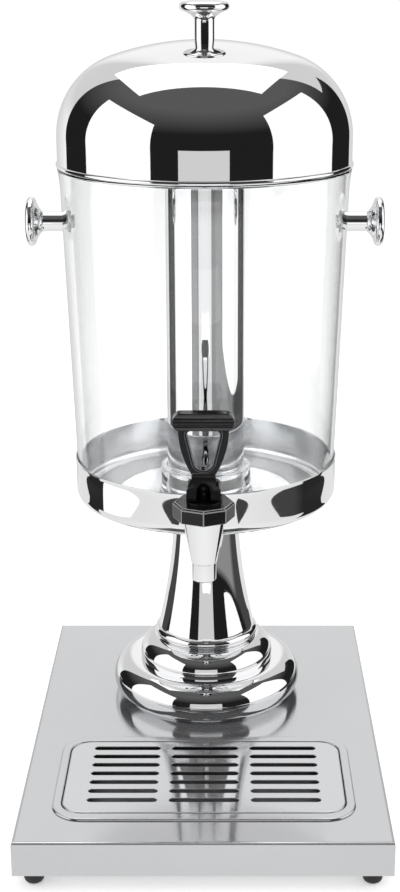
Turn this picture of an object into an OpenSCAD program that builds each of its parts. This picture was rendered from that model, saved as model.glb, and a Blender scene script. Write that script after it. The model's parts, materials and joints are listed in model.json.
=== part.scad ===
// Juice dispenser: a clear tapered vessel with an ice tube and a lever tap,
// on a spun steel pedestal and a folded steel base with a drip tray.
// Millimetres, +Z up, front towards -Y, origin on the table under the middle of the base.

/* [Base] */
// Width of the base, side to side
base_w = 260; // [240:1:320]
// Depth of the base, front to back
base_d = 360; // [350:1:420]
// Height of the folded base above its feet
base_h = 25.5; // [24:0.5:40]
// Thickness of the base sheet
base_sheet = 1.2; // [0.8:0.1:2]
// Outside radius of the folded edges
base_bend_r = 2.4; // [2.2:0.1:4]
// Width of the in-turned flange under the base
base_flange = 24; // [20:1:30]
// Diameter of a rubber foot
foot_d = 14; // [12:0.5:20]
// Height of a rubber foot below the base
foot_h = 12; // [8:0.5:20]
// Radius of the rounded lower edge of a foot
foot_edge_r = 4; // [2:0.5:5]
// Distance from the edges of the base to the middle of a foot
foot_inset = 13.5; // [12:0.5:20]
// Diameter of the stud moulded into a foot
stud_d = 4; // [3:0.5:5]
// Depth of the stud inside the rubber
stud_bury = 5.5; // [4:0.5:7]
// Height of a foot nut
stud_nut_h = 3.2; // [2.5:0.1:5]
// Width across the corners of a foot nut
stud_nut_w = 8.1; // [7:0.1:10]
// Thread standing out past a foot nut
stud_end = 1; // [0.5:0.5:3]

/* [Drip tray] */
// Width of the tray flange
tray_w = 214; // [212:1:220]
// Depth of the tray flange, front to back
tray_d = 121; // [114:1:130]
// Corner radius of the tray flange
tray_r = 22; // [14:1:30]
// Distance from the front of the base to the tray flange
tray_front = 28; // [20:1:34]
// Height of the folded flange edge above the base
tray_flange_h = 1.5; // [1:0.1:3]
// Thickness of the tray sheet
tray_sheet = 0.8; // [0.6:0.1:1.2]
// Depth of the tray pan below the base top
tray_depth = 18; // [12:0.5:20]
// Depth of the shelf that carries the grille, below the flange
tray_shelf = 5; // [4:0.5:8]
// Width of the shelf that carries the grille
tray_ledge = 5; // [3:0.5:8]
// Width of the grille plate
grille_w = 200; // [190:1:201]
// Depth of the grille plate, front to back
grille_d = 103; // [96:1:104]
// Corner radius of the grille plate
grille_r = 15; // [8:1:20]
// Thickness of the grille plate
grille_t = 1; // [0.8:0.1:1.5]
// Slots across the grille
slot_columns = 3; // [1:1:3]
// Slots from front to back
slot_rows = 7; // [1:1:7]
// Length of a slot
slot_len = 49.5; // [30:0.5:54]
// Width of a slot
slot_w = 5.4; // [4.2:0.1:8]
// Distance between slot columns
slot_pitch_x = 58; // [56:0.5:64]
// Distance between slot rows
slot_pitch_y = 12.6; // [9:0.1:13]
// Distance of the slot field behind the middle of the grille
slot_shift = 3.5; // [0:0.5:4]

/* [Pedestal] */
// Distance of the vessel axis behind the middle of the base
axis_y = 61; // [58:0.5:75]
// Outside radius of the lower bulb
bulb_r = 74.5; // [68:0.5:76]
// Radius of the round section of the lower bulb
bulb_section_r = 16.5; // [14:0.5:18]
// Height of the lower bulb's widest line above the base
bulb_lift = 12.5; // [8:0.5:14]
// Outside radius of the upper bulb
ring_r = 52.8; // [48:0.2:56]
// Radius of the round section of the upper bulb
ring_section_r = 15.5; // [13:0.5:17]
// Height of the upper bulb's widest line above the lower bulb
ring_lift = 3; // [2:0.5:5]
// Height of the column from the upper bulb to the vessel
column_h = 118; // [90:1:160]
// Outside radius at the top of the column
column_top_r = 25; // [22:0.5:29]
// Outside radius at the foot of the column's flare
column_foot_r = 39.8; // [36:0.2:41]
// Section radius of the bead around the foot of the column
column_bead_r = 4.4; // [3:0.1:5]
// Height that the bead stands out from the foot of the column
column_bead_step = 0.9; // [0.6:0.1:1.4]
// Thickness of the spun pedestal shells
shell_t = 1.2; // [0.8:0.1:1.6]
// Diameter of the tie rod
rod_d = 10; // [8:1:12]
// Width across the corners of a tie rod nut
rod_nut_w = 19.6; // [16:0.2:24]
// Height of a tie rod nut
rod_nut_h = 8; // [6:0.5:10]
// Radius of a tie rod washer
rod_washer_r = 13; // [10:0.5:16]
// Thickness of a tie rod washer
rod_washer_t = 2; // [1.5:0.1:3]
// Thread standing out past each nut
rod_end = 2; // [1:0.5:4]
// Thickness of the plug in the column
plug_t = 8; // [5:0.5:12]
// Depth of the plug below the top of the column
plug_depth = 26; // [24:1:40]
// Width of the stiffener plate under the base
stiffener_w = 170; // [120:1:200]
// Depth of the stiffener plate, front to back
stiffener_d = 130; // [100:1:140]
// Thickness of the stiffener plate
stiffener_t = 3; // [2:0.5:4]
// Corner radius of the stiffener plate
stiffener_r = 8; // [4:1:12]

/* [Vessel] */
// Outside radius of the steel bowl
bowl_r = 100.9; // [98:0.1:110]
// Height of the steel bowl
bowl_h = 34.5; // [33:0.5:50]
// Thickness of the steel bowl
bowl_wall = 0.8; // [0.6:0.1:1.2]
// Outside radius of the bowl's lower corner
bowl_corner_r = 9; // [5:0.5:12]
// Section radius of the rolled rim of the bowl
bowl_bead_r = 0.6; // [0.5:0.1:1]
// Height of the locating ring under the bowl
spigot_h = 12; // [8:0.5:14]
// Thickness of the locating ring under the bowl
spigot_t = 2; // [1.5:0.1:3]
// Height of the clear container
con_h = 254.3; // [200:0.1:320]
// Outside radius of the container below its flared lip
con_top_r = 106.7; // [104:0.1:112]
// Flare of the container's lip past its wall
con_flare = 2.1; // [0.5:0.1:4]
// Height of the flared lip
con_lip_h = 20; // [12:1:30]
// Thickness of the container wall
con_wall = 3; // [2:0.1:4]
// Thickness of the container floor
con_floor = 3.2; // [2.5:0.1:5]
// Outside radius of the container's lower corner
con_corner_r = 10; // [10:0.5:14]
// Inside radius of the container's lower corner
con_inner_corner_r = 3; // [2:0.5:3]
// Thickness of the silicone ring under the container
pad_t = 1; // [0.5:0.1:2]
// Width of the silicone ring under the container
pad_w = 22; // [10:1:30]
// Outside radius of the ice tube
tube_r = 29.6; // [26:0.1:32]
// Thickness of the ice tube
tube_wall = 0.8; // [0.6:0.1:1.5]
// Height of the ice tube above the container's lip
tube_rise = 12; // [0:0.5:14]
// Section radius of the rolled mouth of the ice tube
tube_bead_r = 1.2; // [0.8:0.1:1.5]
// Wall of the socket that holds the foot of the ice tube
socket_wall = 4.4; // [2.5:0.1:6]
// Height of the socket above the container floor
socket_h = 20; // [12:0.5:26]
// Thickness of the seal around the foot of the ice tube
seal_t = 0.7; // [0.5:0.1:1]
// Height of the seal around the foot of the ice tube
seal_h = 8; // [4:0.5:10]

/* [Lid and knobs] */
// Distance of the lid wall inside the edge of the container's lip
lid_inset = 0.3; // [0:0.1:1]
// Height of the lid from its rim to the knob's seat
lid_h = 90; // [88:0.5:110]
// Height of the straight lid wall
lid_side_h = 22; // [12:0.5:24]
// Radius of the lid's shoulder
lid_shoulder_r = 60; // [45:0.5:62]
// Thickness of the lid
lid_wall = 0.8; // [0.6:0.1:1.2]
// Section radius of the rolled rim of the lid
lid_bead_r = 1.9; // [1.4:0.1:2.5]
// Depth of the ring that centres the lid in the container
lid_ring_h = 2; // [1.5:0.5:12]
// Thickness of the ring that centres the lid
lid_ring_t = 0.8; // [0.6:0.1:1.2]
// Radius of a knob's head
knob_head_r = 18.2; // [15:0.1:22]
// Radius of a knob's stem
knob_stem_r = 7.3; // [6:0.1:9]
// Length of a knob from its seat to its tip
knob_len = 27.8; // [25:0.1:36]
// Section radius of a knob's rounded edge
knob_edge_r = 3.2; // [2.5:0.1:4]
// Length of a knob's straight stem
knob_neck = 13.5; // [10:0.5:16]
// Rise of a knob's domed top
knob_crown = 1.2; // [0.8:0.1:2]
// Width of the flat on the crown of the lid, past the knob's stem and washer
seat_margin = 0.6; // [0.3:0.1:1.5]
// Length of stem that is cut to the curve of the container
stem_run = 2; // [1.5:0.1:4]
// Distance from the container's lip down to the handle knobs
handle_drop = 41.5; // [32:0.5:80]
// Diameter of a knob screw
screw_d = 5; // [4:0.5:6]
// Depth of a knob screw inside the knob
screw_bury = 12; // [8:0.5:18]
// Radius of a knob screw's head
screw_head_r = 5; // [4:0.1:6]
// Height of a knob screw's head
screw_head_h = 3; // [2:0.1:4]
// Radius of a knob washer
washer_r = 8; // [7:0.1:10]
// Thickness of a knob washer
washer_t = 1.5; // [1:0.1:3]

/* [Tap] */
// Distance from the bowl to the axis of the spout
tap_reach = 30.4; // [28:0.1:44]
// Height of the tap's shank above the bottom of the bowl
tap_rise = 19.5; // [19.5:0.1:21.5]
// Radius of the shank
shank_r = 8; // [7:0.1:8.5]
// Radius of the flow bore in the shank
shank_bore_r = 5; // [3:0.1:5.5]
// Radius of the shank's shoulder
shoulder_r = 11.5; // [10:0.1:12]
// Thickness of the shank's shoulder
shoulder_t = 3; // [2:0.1:4]
// Thickness of a tap gasket
gasket_t = 2; // [1:0.1:3]
// Radius of a tap gasket
gasket_r = 11; // [9.5:0.1:11.5]
// Thickness of the tap washer
tap_washer_t = 1.2; // [0.8:0.1:2]
// Width across the corners of the tap's lock nut
lock_nut_w = 25; // [21:0.2:26]
// Thickness of the tap's lock nut
lock_nut_t = 7; // [5:0.5:10]
// Shank standing out past the lock nut
shank_end = 3; // [1:0.5:6]
// Radius of the spout under the bonnet
barrel_r = 15.4; // [12.6:0.1:15.4]
// Radius of the spout's tip
tip_r = 9.2; // [7.6:0.05:9.5]
// Height of the straight tip
tip_h = 13.5; // [8:0.5:16]
// Length of the spout's cone
cone_h = 33.5; // [28:0.5:36]
// Height of the bonnet above the middle of the shank
bonnet_rise = 9; // [8.5:0.1:11]
// Radius of the spout's outlet bore
outlet_r = 5.4; // [4.2:0.1:5.8]
// Radius of the valve chamber
chamber_r = 9.2; // [8.4:0.1:9.6]
// Depth of the valve seat below the middle of the shank
seat_drop = 7; // [5.8:0.1:7.5]
// Radius of the neck that the bonnet screws onto
neck_r = 15.4; // [14.8:0.1:16.2]
// Height of the neck inside the bonnet
neck_h = 7; // [5:0.1:7.5]
// Radius of the octagonal bonnet across its corners
bonnet_r = 22; // [19:0.1:24]
// Height of the bonnet's octagon
bonnet_h = 11.3; // [10.5:0.1:14]
// Chamfer round the top of the bonnet's octagon
bonnet_chamfer = 1.4; // [0.5:0.1:2]
// Radius of the bonnet's raised top
crown_r = 12.6; // [10:0.1:14]
// Height of the bonnet's raised top
crown_h = 1.7; // [1:0.1:3]
// Radius of the valve stem
stem_r = 3; // [2.4:0.1:3.4]
// Radius of the ball at the top of the stem
stem_ball_r = 4.6; // [4.2:0.1:5.2]
// Height of the lever pin above the bonnet
pin_rise = 9; // [8:0.1:11]
// Diameter of the lever pin
pin_d = 3.2; // [2.5:0.1:4]
// Radius of the seat cup
cup_r = 7.4; // [6.4:0.1:8]
// Height of the seat cup
cup_h = 5; // [4:0.1:6]
// Thickness of the stem's spring flange
stem_flange_t = 1.8; // [1.2:0.1:2.5]
// Radius of the stem's spring flange
stem_flange_r = 6.6; // [6:0.1:7.5]
// Mean radius of the spring
spring_r = 5; // [4.6:0.1:5.6]
// Diameter of the spring wire
spring_wire = 1.1; // [0.8:0.1:1.3]
// Turns of the spring
spring_turns = 5; // [3:0.5:6]

/* [Lever] */
// Swing of the lever from closed to open, in degrees
lever_swing = 55; // [30:1:60]
// Lift of the stem at full swing
valve_lift = 5; // [3:0.1:5]
// Width of the lever's fork
fork_w = 24; // [20:0.2:26]
// Width of the slot in the fork
fork_slot = 10; // [9.2:0.1:11]
// Thickness of the fork behind the stem
fork_back = 8; // [7:0.1:10]
// Height of the narrow neck above the pin
lever_neck_z = 8; // [7.5:0.1:9]
// Width of the narrow neck
lever_neck_w = 17; // [14:0.2:19]
// Height of the straight part of the neck
lever_neck_h = 2; // [1:0.1:3]
// Height of the blunt nose at the end of the cam
cam_nose = 4; // [2:0.1:5]
// Thickness of the lever's frame
lever_t = 7; // [5:0.1:9]
// Height of the grip bar's lower edge above the pin
grip_z = 42; // [40:0.5:50]
// Height of the grip bar
grip_h = 12.8; // [10:0.1:16]
// Width of the grip bar
grip_w = 42.5; // [38:0.5:50]
// Thickness of the grip bar
grip_t = 10; // [8:0.5:13]
// Corner radius of the grip bar's ends
grip_end_r = 5.5; // [3:0.1:6]
// Ribs along the grip bar
grip_ribs = 3; // [2:1:4]
// Width of the lever's frame under the grip bar
frame_w = 35.5; // [32:0.5:37.5]
// Width of the raised rim around the finger opening
rim_w = 1.8; // [1:0.1:2]
// Height that the rim stands out from the frame
rim_h = 0.8; // [0.4:0.1:1.5]
// Section radius of the ridge across the neck
ridge_r = 0.8; // [0.5:0.1:1.2]
// Width of the finger opening under the grip bar
finger_w = 23; // [18:0.5:24]
// Height of the lower end of the finger opening above the pin
finger_z = 13.5; // [13:0.5:20]
// Radius of the lower end of the finger opening
finger_r = 7; // [3:0.1:7.5]
// Radius of the upper corners of the finger opening
finger_corner_r = 3; // [2:0.1:4]

/* [Fits] */
// Gap under a piece that lifts off
rest_gap = 0.2; // [0.1:0.05:0.3]
// Gap all round a piece that drops into another
drop_fit = 0.5; // [0.3:0.1:0.8]
// Radial gap of a fixed pin or screw in its hole
pin_fit = 0.05; // [0.02:0.01:0.1]
// Radial gap of a bolt in its clearance hole
bolt_fit = 0.3; // [0.2:0.05:0.5]
// Radial gap of a turning or sliding shaft
running_fit = 0.08; // [0.05:0.01:0.1]
// Gap between two faces that pass one another
pass_gap = 0.3; // [0.2:0.05:0.4]

/* [Hidden] */
$fn = 72;
// Overlap that makes cuts and joins clean
eps = 0.01;
// Distance that a cut runs past the face it opens
over = 1;
// Straight pieces in a worked-out curve
curve_steps = 10;
// Pieces round a large wall that thin pieces are cut to
wall_fn = 720;
// Pieces round a shallow crown
crown_fn = 1440;

steel = [0.80, 0.81, 0.83];
bright_steel = [0.88, 0.89, 0.91];
black_plastic = [0.09, 0.09, 0.10];
rubber = [0.13, 0.13, 0.14];
silicone = [0.86, 0.87, 0.86];
clear = [0.85, 0.92, 0.96, 0.35];

// Heights
base_top = foot_h + base_h;
bulb_top = base_top + bulb_lift + bulb_section_r;
ring_z = bulb_top + ring_lift;
ring_top = ring_z + ring_section_r;
column_top = ring_top + column_h;
plug_top = column_top - plug_depth;
bowl_z = column_top + rest_gap;
bowl_rim = bowl_z + bowl_h;
con_z = bowl_z + bowl_wall + pad_t;
con_top = con_z + con_h;
con_floor_top = con_z + con_floor;
tube_z = con_floor_top + rest_gap;
tube_top = con_top + tube_rise;
lid_z = con_top + rest_gap;
lid_top = lid_z + lid_h;
handle_z = con_top - handle_drop;

// Tray
tray_y = tray_front + tray_d / 2 - base_d / 2;
tray_top = base_top + tray_flange_h;
recess_w = grille_w + 2 * drop_fit;
recess_d = grille_d + 2 * drop_fit;
recess_r = grille_r + drop_fit;
pan_w = recess_w - 2 * tray_ledge;
pan_d = recess_d - 2 * tray_ledge;
pan_r = recess_r - tray_ledge;
hole_w = recess_w + 2 * tray_sheet + 2 * drop_fit;
hole_d = recess_d + 2 * tray_sheet + 2 * drop_fit;
hole_r = recess_r + tray_sheet + drop_fit;

// Container wall: the radius grows evenly from the bowl's rim to the lip
con_rim_r = bowl_r - bowl_wall - drop_fit;
con_slope = (con_top_r - con_rim_r) / (con_h - con_lip_h - (bowl_rim - con_z));
function con_r(z) = con_rim_r + con_slope * (z - bowl_rim);
con_lip_r = con_top_r + con_flare;
// Radius of the flared lip, t from 0 below it to 1 at its top
function lip_r(t) = con_top_r + (con_lip_r - con_top_r) * t * t;
socket_r = tube_r + seal_t + drop_fit / 2;

// Lid
lid_r = con_lip_r - lid_inset;
lid_wall_top = lid_z + lid_side_h;
crown_seat_r = max(knob_stem_r, washer_r) + seat_margin;
lid_rise = lid_h - lid_side_h;
lid_flat = lid_r - lid_shoulder_r;
lid_crown_r = (lid_flat * lid_flat + lid_rise * lid_rise - lid_shoulder_r * lid_shoulder_r)
    / (2 * (lid_rise - lid_shoulder_r));
lid_crown_z = lid_wall_top + lid_rise - lid_crown_r;
lid_tangent_r = lid_flat * lid_crown_r / (lid_crown_r - lid_shoulder_r);
lid_ring_r = lip_r(1 - lid_ring_h / con_lip_h) - con_wall - drop_fit;

// Tap
tap_y = axis_y - bowl_r - tap_reach;
tap_z = bowl_z + tap_rise;
bonnet_z = tap_z + bonnet_rise;
bonnet_top = bonnet_z + bonnet_h + crown_h;
cone_z = bonnet_z - cone_h;
tip_z = cone_z - tip_h;
seat_z = tap_z - seat_drop;
neck_top = bonnet_z + neck_h;
bonnet_under = neck_top + pass_gap;
pin_z = bonnet_top + pin_rise;
cup_z = seat_z + pass_gap;
flange_z = cup_z + cup_h;
spring_z = flange_z + stem_flange_t;
bowl_front = axis_y - bowl_r;
inner_wall_y = axis_y - (con_r(tap_z) - con_wall);
shank_tail = inner_wall_y + gasket_t + tap_washer_t + lock_nut_t + shank_end;

// Lever cam: its heel lifts the pin by the same amount for each degree of swing
cam_rate = valve_lift / (lever_swing * PI / 180);
heel = pin_rise - pass_gap;
function cam_reach(a) = heel + cam_rate * a * PI / 180;
function cam_point(a) = [
    -cam_reach(a) * sin(a) - cam_rate * cos(a),
    -cam_reach(a) * cos(a) + cam_rate * sin(a)
];

// Points of a circular arc from angle a0 to a1
function arc(centre, r, a0, a1) = [
    for (i = [0 : curve_steps])
        let (a = a0 + (a1 - a0) * i / curve_steps) centre + r * [cos(a), sin(a)]
];

// Rectangle with round corners, centred
module rounded_rect(w, d, r) {
    square([w - 2 * r, d], center = true);
    square([w, d - 2 * r], center = true);
    for (x = [-1, 1], y = [-1, 1])
        translate([x * (w / 2 - r), y * (d / 2 - r)]) circle(r);
}

// Rectangle on the X axis with its two upper corners round
module folded_profile(w, h, r) {
    translate([-w / 2, 0]) square([w, h - r]);
    translate([-w / 2 + r, 0]) square([w - 2 * r, h]);
    for (x = [-1, 1])
        translate([x * (w / 2 - r), h - r]) circle(r);
}

// Slot with round ends, lying along X
module slot(len, w) {
    square([len - w, w], center = true);
    for (x = [-1, 1])
        translate([x * (len - w) / 2, 0]) circle(w / 2);
}

// Ring with a bore
module ring(r_out, r_in, h) {
    difference() {
        cylinder(r = r_out, h = h);
        translate([0, 0, -over]) cylinder(r = r_in, h = h + 2 * over);
    }
}

// Hexagon nut with a bore
module hex_nut(across, bore_r, h) {
    difference() {
        cylinder(d = across, h = h, $fn = 6);
        translate([0, 0, -over]) cylinder(r = bore_r, h = h + 2 * over);
    }
}

// Places its children at the axis of the vessel
module on_axis(z) {
    translate([0, axis_y, z]) children();
}

// Places its children at the axis of the spout
module on_tap(z) {
    translate([0, tap_y, z]) children();
}

// Turns its children from +Z to +Y, on the axis of the shank, starting at y
module on_shank(y) {
    translate([0, y, tap_z]) rotate([-90, 0, 0]) children();
}

// Folded box, open below
module folded_box(w, d, h, r) {
    intersection() {
        translate([0, d / 2, 0]) rotate([90, 0, 0])
            linear_extrude(height = d) folded_profile(w, h, r);
        translate([-w / 2, 0, 0]) rotate([90, 0, 90])
            linear_extrude(height = w) folded_profile(d, h, r);
    }
}

module base_housing() {
    color(steel) difference() {
        translate([0, 0, foot_h]) folded_box(base_w, base_d, base_h, base_bend_r);
        translate([0, 0, foot_h + base_sheet]) folded_box(
            base_w - 2 * base_sheet, base_d - 2 * base_sheet,
            base_h - 2 * base_sheet, base_bend_r - base_sheet);
        translate([0, 0, foot_h - over]) linear_extrude(height = base_sheet + 2 * over)
            square([base_w - 2 * base_flange, base_d - 2 * base_flange], center = true);
        translate([0, tray_y, base_top - base_sheet - over]) linear_extrude(height = base_sheet + 2 * over)
            rounded_rect(hole_w, hole_d, hole_r);
        on_axis(base_top - base_sheet - over) cylinder(d = rod_d + 2 * bolt_fit, h = base_sheet + 2 * over);
        foot_places() translate([0, 0, foot_h - over])
            cylinder(d = stud_d + 2 * bolt_fit, h = base_sheet + 2 * over);
    }
}

// Middle of the foot on the given side and end
function foot_place(x, y) = [x * (base_w / 2 - foot_inset), y * (base_d / 2 - foot_inset), 0];

module foot_places() {
    for (x = [-1, 1], y = [-1, 1])
        translate(foot_place(x, y)) children();
}

module foot(x, y) {
    color(rubber) translate(foot_place(x, y)) difference() {
        rotate_extrude() {
            translate([0, foot_edge_r]) square([foot_d / 2, foot_h - foot_edge_r]);
            square([foot_d / 2 - foot_edge_r, foot_edge_r + eps]);
            translate([foot_d / 2 - foot_edge_r, foot_edge_r])
                intersection() {
                    circle(foot_edge_r);
                    translate([0, -foot_edge_r]) square(2 * foot_edge_r);
                }
        }
        translate([0, 0, foot_h - stud_bury])
            cylinder(d = stud_d + 2 * pin_fit, h = stud_bury + over);
    }
}

module foot_front_left() { foot(-1, -1); }
module foot_front_right() { foot(1, -1); }
module foot_rear_left() { foot(-1, 1); }
module foot_rear_right() { foot(1, 1); }

module foot_studs() {
    color(steel) foot_places() translate([0, 0, foot_h - stud_bury])
        cylinder(d = stud_d, h = stud_bury + base_sheet + stud_nut_h + stud_end);
}

module foot_nuts() {
    color(steel) foot_places() translate([0, 0, foot_h + base_sheet])
        hex_nut(stud_nut_w, stud_d / 2 + pin_fit, stud_nut_h);
}

// Drawn pan: a folded flange, a shelf for the grille and a deep middle
module drip_tray() {
    color(steel) translate([0, tray_y, 0]) difference() {
        union() {
            translate([0, 0, base_top + rest_gap])
                linear_extrude(height = tray_flange_h - rest_gap) rounded_rect(tray_w, tray_d, tray_r);
            translate([0, 0, tray_top - tray_shelf - tray_sheet])
                linear_extrude(height = tray_shelf)
                    rounded_rect(recess_w + 2 * tray_sheet, recess_d + 2 * tray_sheet,
                        recess_r + tray_sheet);
            translate([0, 0, base_top - tray_depth])
                linear_extrude(height = tray_depth)
                    rounded_rect(pan_w + 2 * tray_sheet, pan_d + 2 * tray_sheet, pan_r + tray_sheet);
        }
        translate([0, 0, tray_top - tray_shelf])
            linear_extrude(height = tray_shelf + over) rounded_rect(recess_w, recess_d, recess_r);
        translate([0, 0, base_top - tray_depth + tray_sheet])
            linear_extrude(height = tray_depth) rounded_rect(pan_w, pan_d, pan_r);
    }
}

// Slotted plate with a turned-down edge that stands on the tray's shelf
module drip_grille() {
    lip = tray_shelf - rest_gap;
    color(bright_steel) translate([0, tray_y, tray_top - lip]) difference() {
        linear_extrude(height = lip) rounded_rect(grille_w, grille_d, grille_r);
        translate([0, 0, -over]) linear_extrude(height = lip - grille_t + over)
            rounded_rect(grille_w - 2 * grille_t, grille_d - 2 * grille_t, grille_r - grille_t);
        for (c = [0 : slot_columns - 1], r = [0 : slot_rows - 1])
            translate([
                (c - (slot_columns - 1) / 2) * slot_pitch_x,
                (r - (slot_rows - 1) / 2) * slot_pitch_y + slot_shift,
                lip - grille_t - over
            ])
                linear_extrude(height = grille_t + 2 * over) slot(slot_len, slot_w);
    }
}

// Half section of a spun bulb: a round outside over a flat, bored top
module bulb_section(r, section_r, bottom, top, bore_r) {
    centre_r = r - section_r;
    translate([centre_r, 0]) difference() {
        circle(section_r);
        circle(section_r - shell_t);
        translate([-2 * section_r, -2 * section_r]) square([2 * section_r, 4 * section_r]);
        translate([-2 * section_r, bottom - 2 * section_r]) square([4 * section_r, 2 * section_r]);
    }
    translate([bore_r, top - shell_t]) square([centre_r - bore_r + eps, shell_t]);
}

module pedestal_bulb() {
    color(bright_steel) on_axis(base_top + bulb_lift) rotate_extrude()
        bulb_section(bulb_r, bulb_section_r, -bulb_lift, bulb_section_r, rod_washer_r);
}

module pedestal_ring() {
    color(bright_steel) on_axis(ring_z) rotate_extrude()
        bulb_section(ring_r, ring_section_r, -ring_lift, ring_section_r, rod_washer_r);
}

// Height of the column's flare, which ends inside the bead
flare_h = column_h - column_bead_r / 2;
bead_centre_r = column_foot_r + column_bead_step - column_bead_r;
// Radius of the flare, t from 0 at the top to 1 at the foot
function flare_r(t) = column_top_r + (column_foot_r - column_top_r) * t * t;

// Points down the flare, drawn in by an inset
function flare_line(inset) = [
    for (i = [0 : 2 * curve_steps])
        let (t = i / (2 * curve_steps)) [flare_r(t) - inset, column_h - flare_h * t]
];

// Trumpet with its foot rolled to a bead, open at both ends
module pedestal_column() {
    turn_r = bead_centre_r - shell_t;
    color(bright_steel) on_axis(ring_top) difference() {
        union() {
            rotate_extrude()
                polygon(concat([[0, column_h - flare_h], [0, column_h]], flare_line(0)));
            rotate_extrude()
                translate([bead_centre_r, column_bead_r]) circle(column_bead_r);
        }
        rotate_extrude() polygon(concat(
            [[0, -over], [0, column_h + over], [column_top_r - shell_t, column_h + over]],
            flare_line(shell_t),
            [[turn_r, column_h - flare_h], [turn_r, -over]]
        ));
    }
}

// Disc that closes the column and takes the pull of the tie rod
module column_plug() {
    color(steel) on_axis(plug_top - plug_t)
        ring(flare_r(plug_depth / flare_h) - shell_t - pin_fit, rod_d / 2 + bolt_fit, plug_t);
}

module base_stiffener() {
    color(steel) on_axis(base_top - base_sheet - stiffener_t) difference() {
        linear_extrude(height = stiffener_t) rounded_rect(stiffener_w, stiffener_d, stiffener_r);
        translate([0, 0, -over]) cylinder(d = rod_d + 2 * bolt_fit, h = stiffener_t + 2 * over);
    }
}

rod_low = base_top - base_sheet - stiffener_t - rod_washer_t - rod_nut_h - rod_end;
rod_high = plug_top + rod_washer_t + rod_nut_h + rod_end;

module tie_rod() {
    color(steel) on_axis(rod_low) cylinder(d = rod_d, h = rod_high - rod_low);
}

module tie_rod_nuts() {
    color(steel) for (z = [rod_low + rod_end, plug_top + rod_washer_t])
        on_axis(z) hex_nut(rod_nut_w, rod_d / 2 + pin_fit, rod_nut_h);
}

module tie_rod_washers() {
    color(steel) for (z = [rod_low + rod_end + rod_nut_h, plug_top])
        on_axis(z) ring(rod_washer_r, rod_d / 2 + bolt_fit, rod_washer_t);
}

// Half section of the bowl, drawn in by an inset
module bowl_section(inset) {
    r = bowl_r - inset;
    corner = bowl_corner_r - inset;
    translate([0, inset]) {
        translate([0, corner]) square([r, bowl_h - corner - inset]);
        square([r - corner, corner + eps]);
        translate([r - corner, corner]) intersection() {
            circle(corner);
            translate([0, -corner]) square(2 * corner);
        }
    }
}

module container_bowl() {
    color(bright_steel) difference() {
        on_axis(bowl_z) rotate_extrude() difference() {
            union() {
                bowl_section(0);
                translate([bowl_r - bowl_wall + bowl_bead_r, bowl_h - bowl_bead_r]) circle(bowl_bead_r);
            }
            bowl_section(bowl_wall);
            translate([0, bowl_h - bowl_wall - 2 * bowl_bead_r])
                square([bowl_r - bowl_wall, 2 * bowl_bead_r + over]);
        }
        on_shank(bowl_front - bowl_r / 2) cylinder(r = shank_r + bolt_fit, h = bowl_r);
    }
}

// Ring under the bowl that drops into the top of the column
module bowl_spigot() {
    spigot_r = column_top_r - shell_t - pass_gap;
    color(steel) on_axis(bowl_z - spigot_h) ring(spigot_r, spigot_r - spigot_t, spigot_h);
}

module container_pad() {
    pad_r = bowl_r - bowl_corner_r - 2 * drop_fit;
    color(silicone) on_axis(bowl_z + bowl_wall) ring(pad_r, pad_r - pad_w, pad_t);
}

// Half section of the container, drawn in by an inset, from the given floor height up
module container_section(inset, corner, floor_z, top_z) {
    lip_z = con_top - con_lip_h;
    corner_r = con_r(floor_z + corner) - inset - corner;
    polygon(concat(
        [[0, top_z], [0, floor_z]],
        arc([corner_r, floor_z + corner], corner, -90, 0),
        [for (i = [0 : curve_steps])
            let (t = i / curve_steps)
                [lip_r(t) - inset, lip_z + con_lip_h * t]],
        [[con_lip_r - inset, top_z]]
    ));
}

module container() {
    color(clear) difference() {
        union() {
            on_axis(0) rotate_extrude() difference() {
                container_section(0, con_corner_r, con_z, con_top);
                container_section(con_wall, con_inner_corner_r, con_floor_top, con_top + over);
            }
            on_axis(con_floor_top - eps) ring(socket_r + socket_wall, socket_r, socket_h + eps);
        }
        on_shank(bowl_front) cylinder(r = shank_r + bolt_fit, h = bowl_r / 2);
        handle_places() translate([0, 0, -2 * con_wall])
            cylinder(d = screw_d + 2 * bolt_fit, h = 4 * con_wall);
    }
}

// Drawn tube with a closed foot and a rolled mouth
module ice_tube() {
    tube_h = tube_top - tube_z;
    color(bright_steel) on_axis(tube_z) rotate_extrude() difference() {
        union() {
            square([tube_r, tube_h - tube_bead_r]);
            translate([tube_r, tube_h - tube_bead_r]) circle(tube_bead_r);
        }
        translate([0, tube_wall]) square([tube_r - tube_wall, tube_h]);
    }
}

module ice_tube_seal() {
    color(silicone) on_axis(tube_z + socket_h / 2 - seal_h / 2)
        ring(tube_r + seal_t, tube_r, seal_h);
}

// Half section of the lid: straight wall, round shoulder and shallow crown, drawn in by an inset
module lid_section(inset) {
    translate([0, lid_z - over]) square([lid_r - inset, lid_side_h + over]);
    intersection() {
        translate([lid_flat, lid_wall_top]) circle(lid_shoulder_r - inset);
        translate([lid_flat, lid_wall_top - eps]) square(lid_shoulder_r);
    }
    intersection() {
        translate([0, lid_crown_z]) circle(lid_crown_r - inset, $fn = crown_fn);
        translate([0, lid_wall_top - eps])
            square([lid_tangent_r * (lid_crown_r - inset) / lid_crown_r, lid_rise - crown_sag - inset]);
    }
}

// Drop of the crown at the edge of the knob's flat seat
crown_sag = lid_crown_r - sqrt(lid_crown_r * lid_crown_r - crown_seat_r * crown_seat_r);
knob_seat = lid_top - crown_sag - eps;

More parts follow.
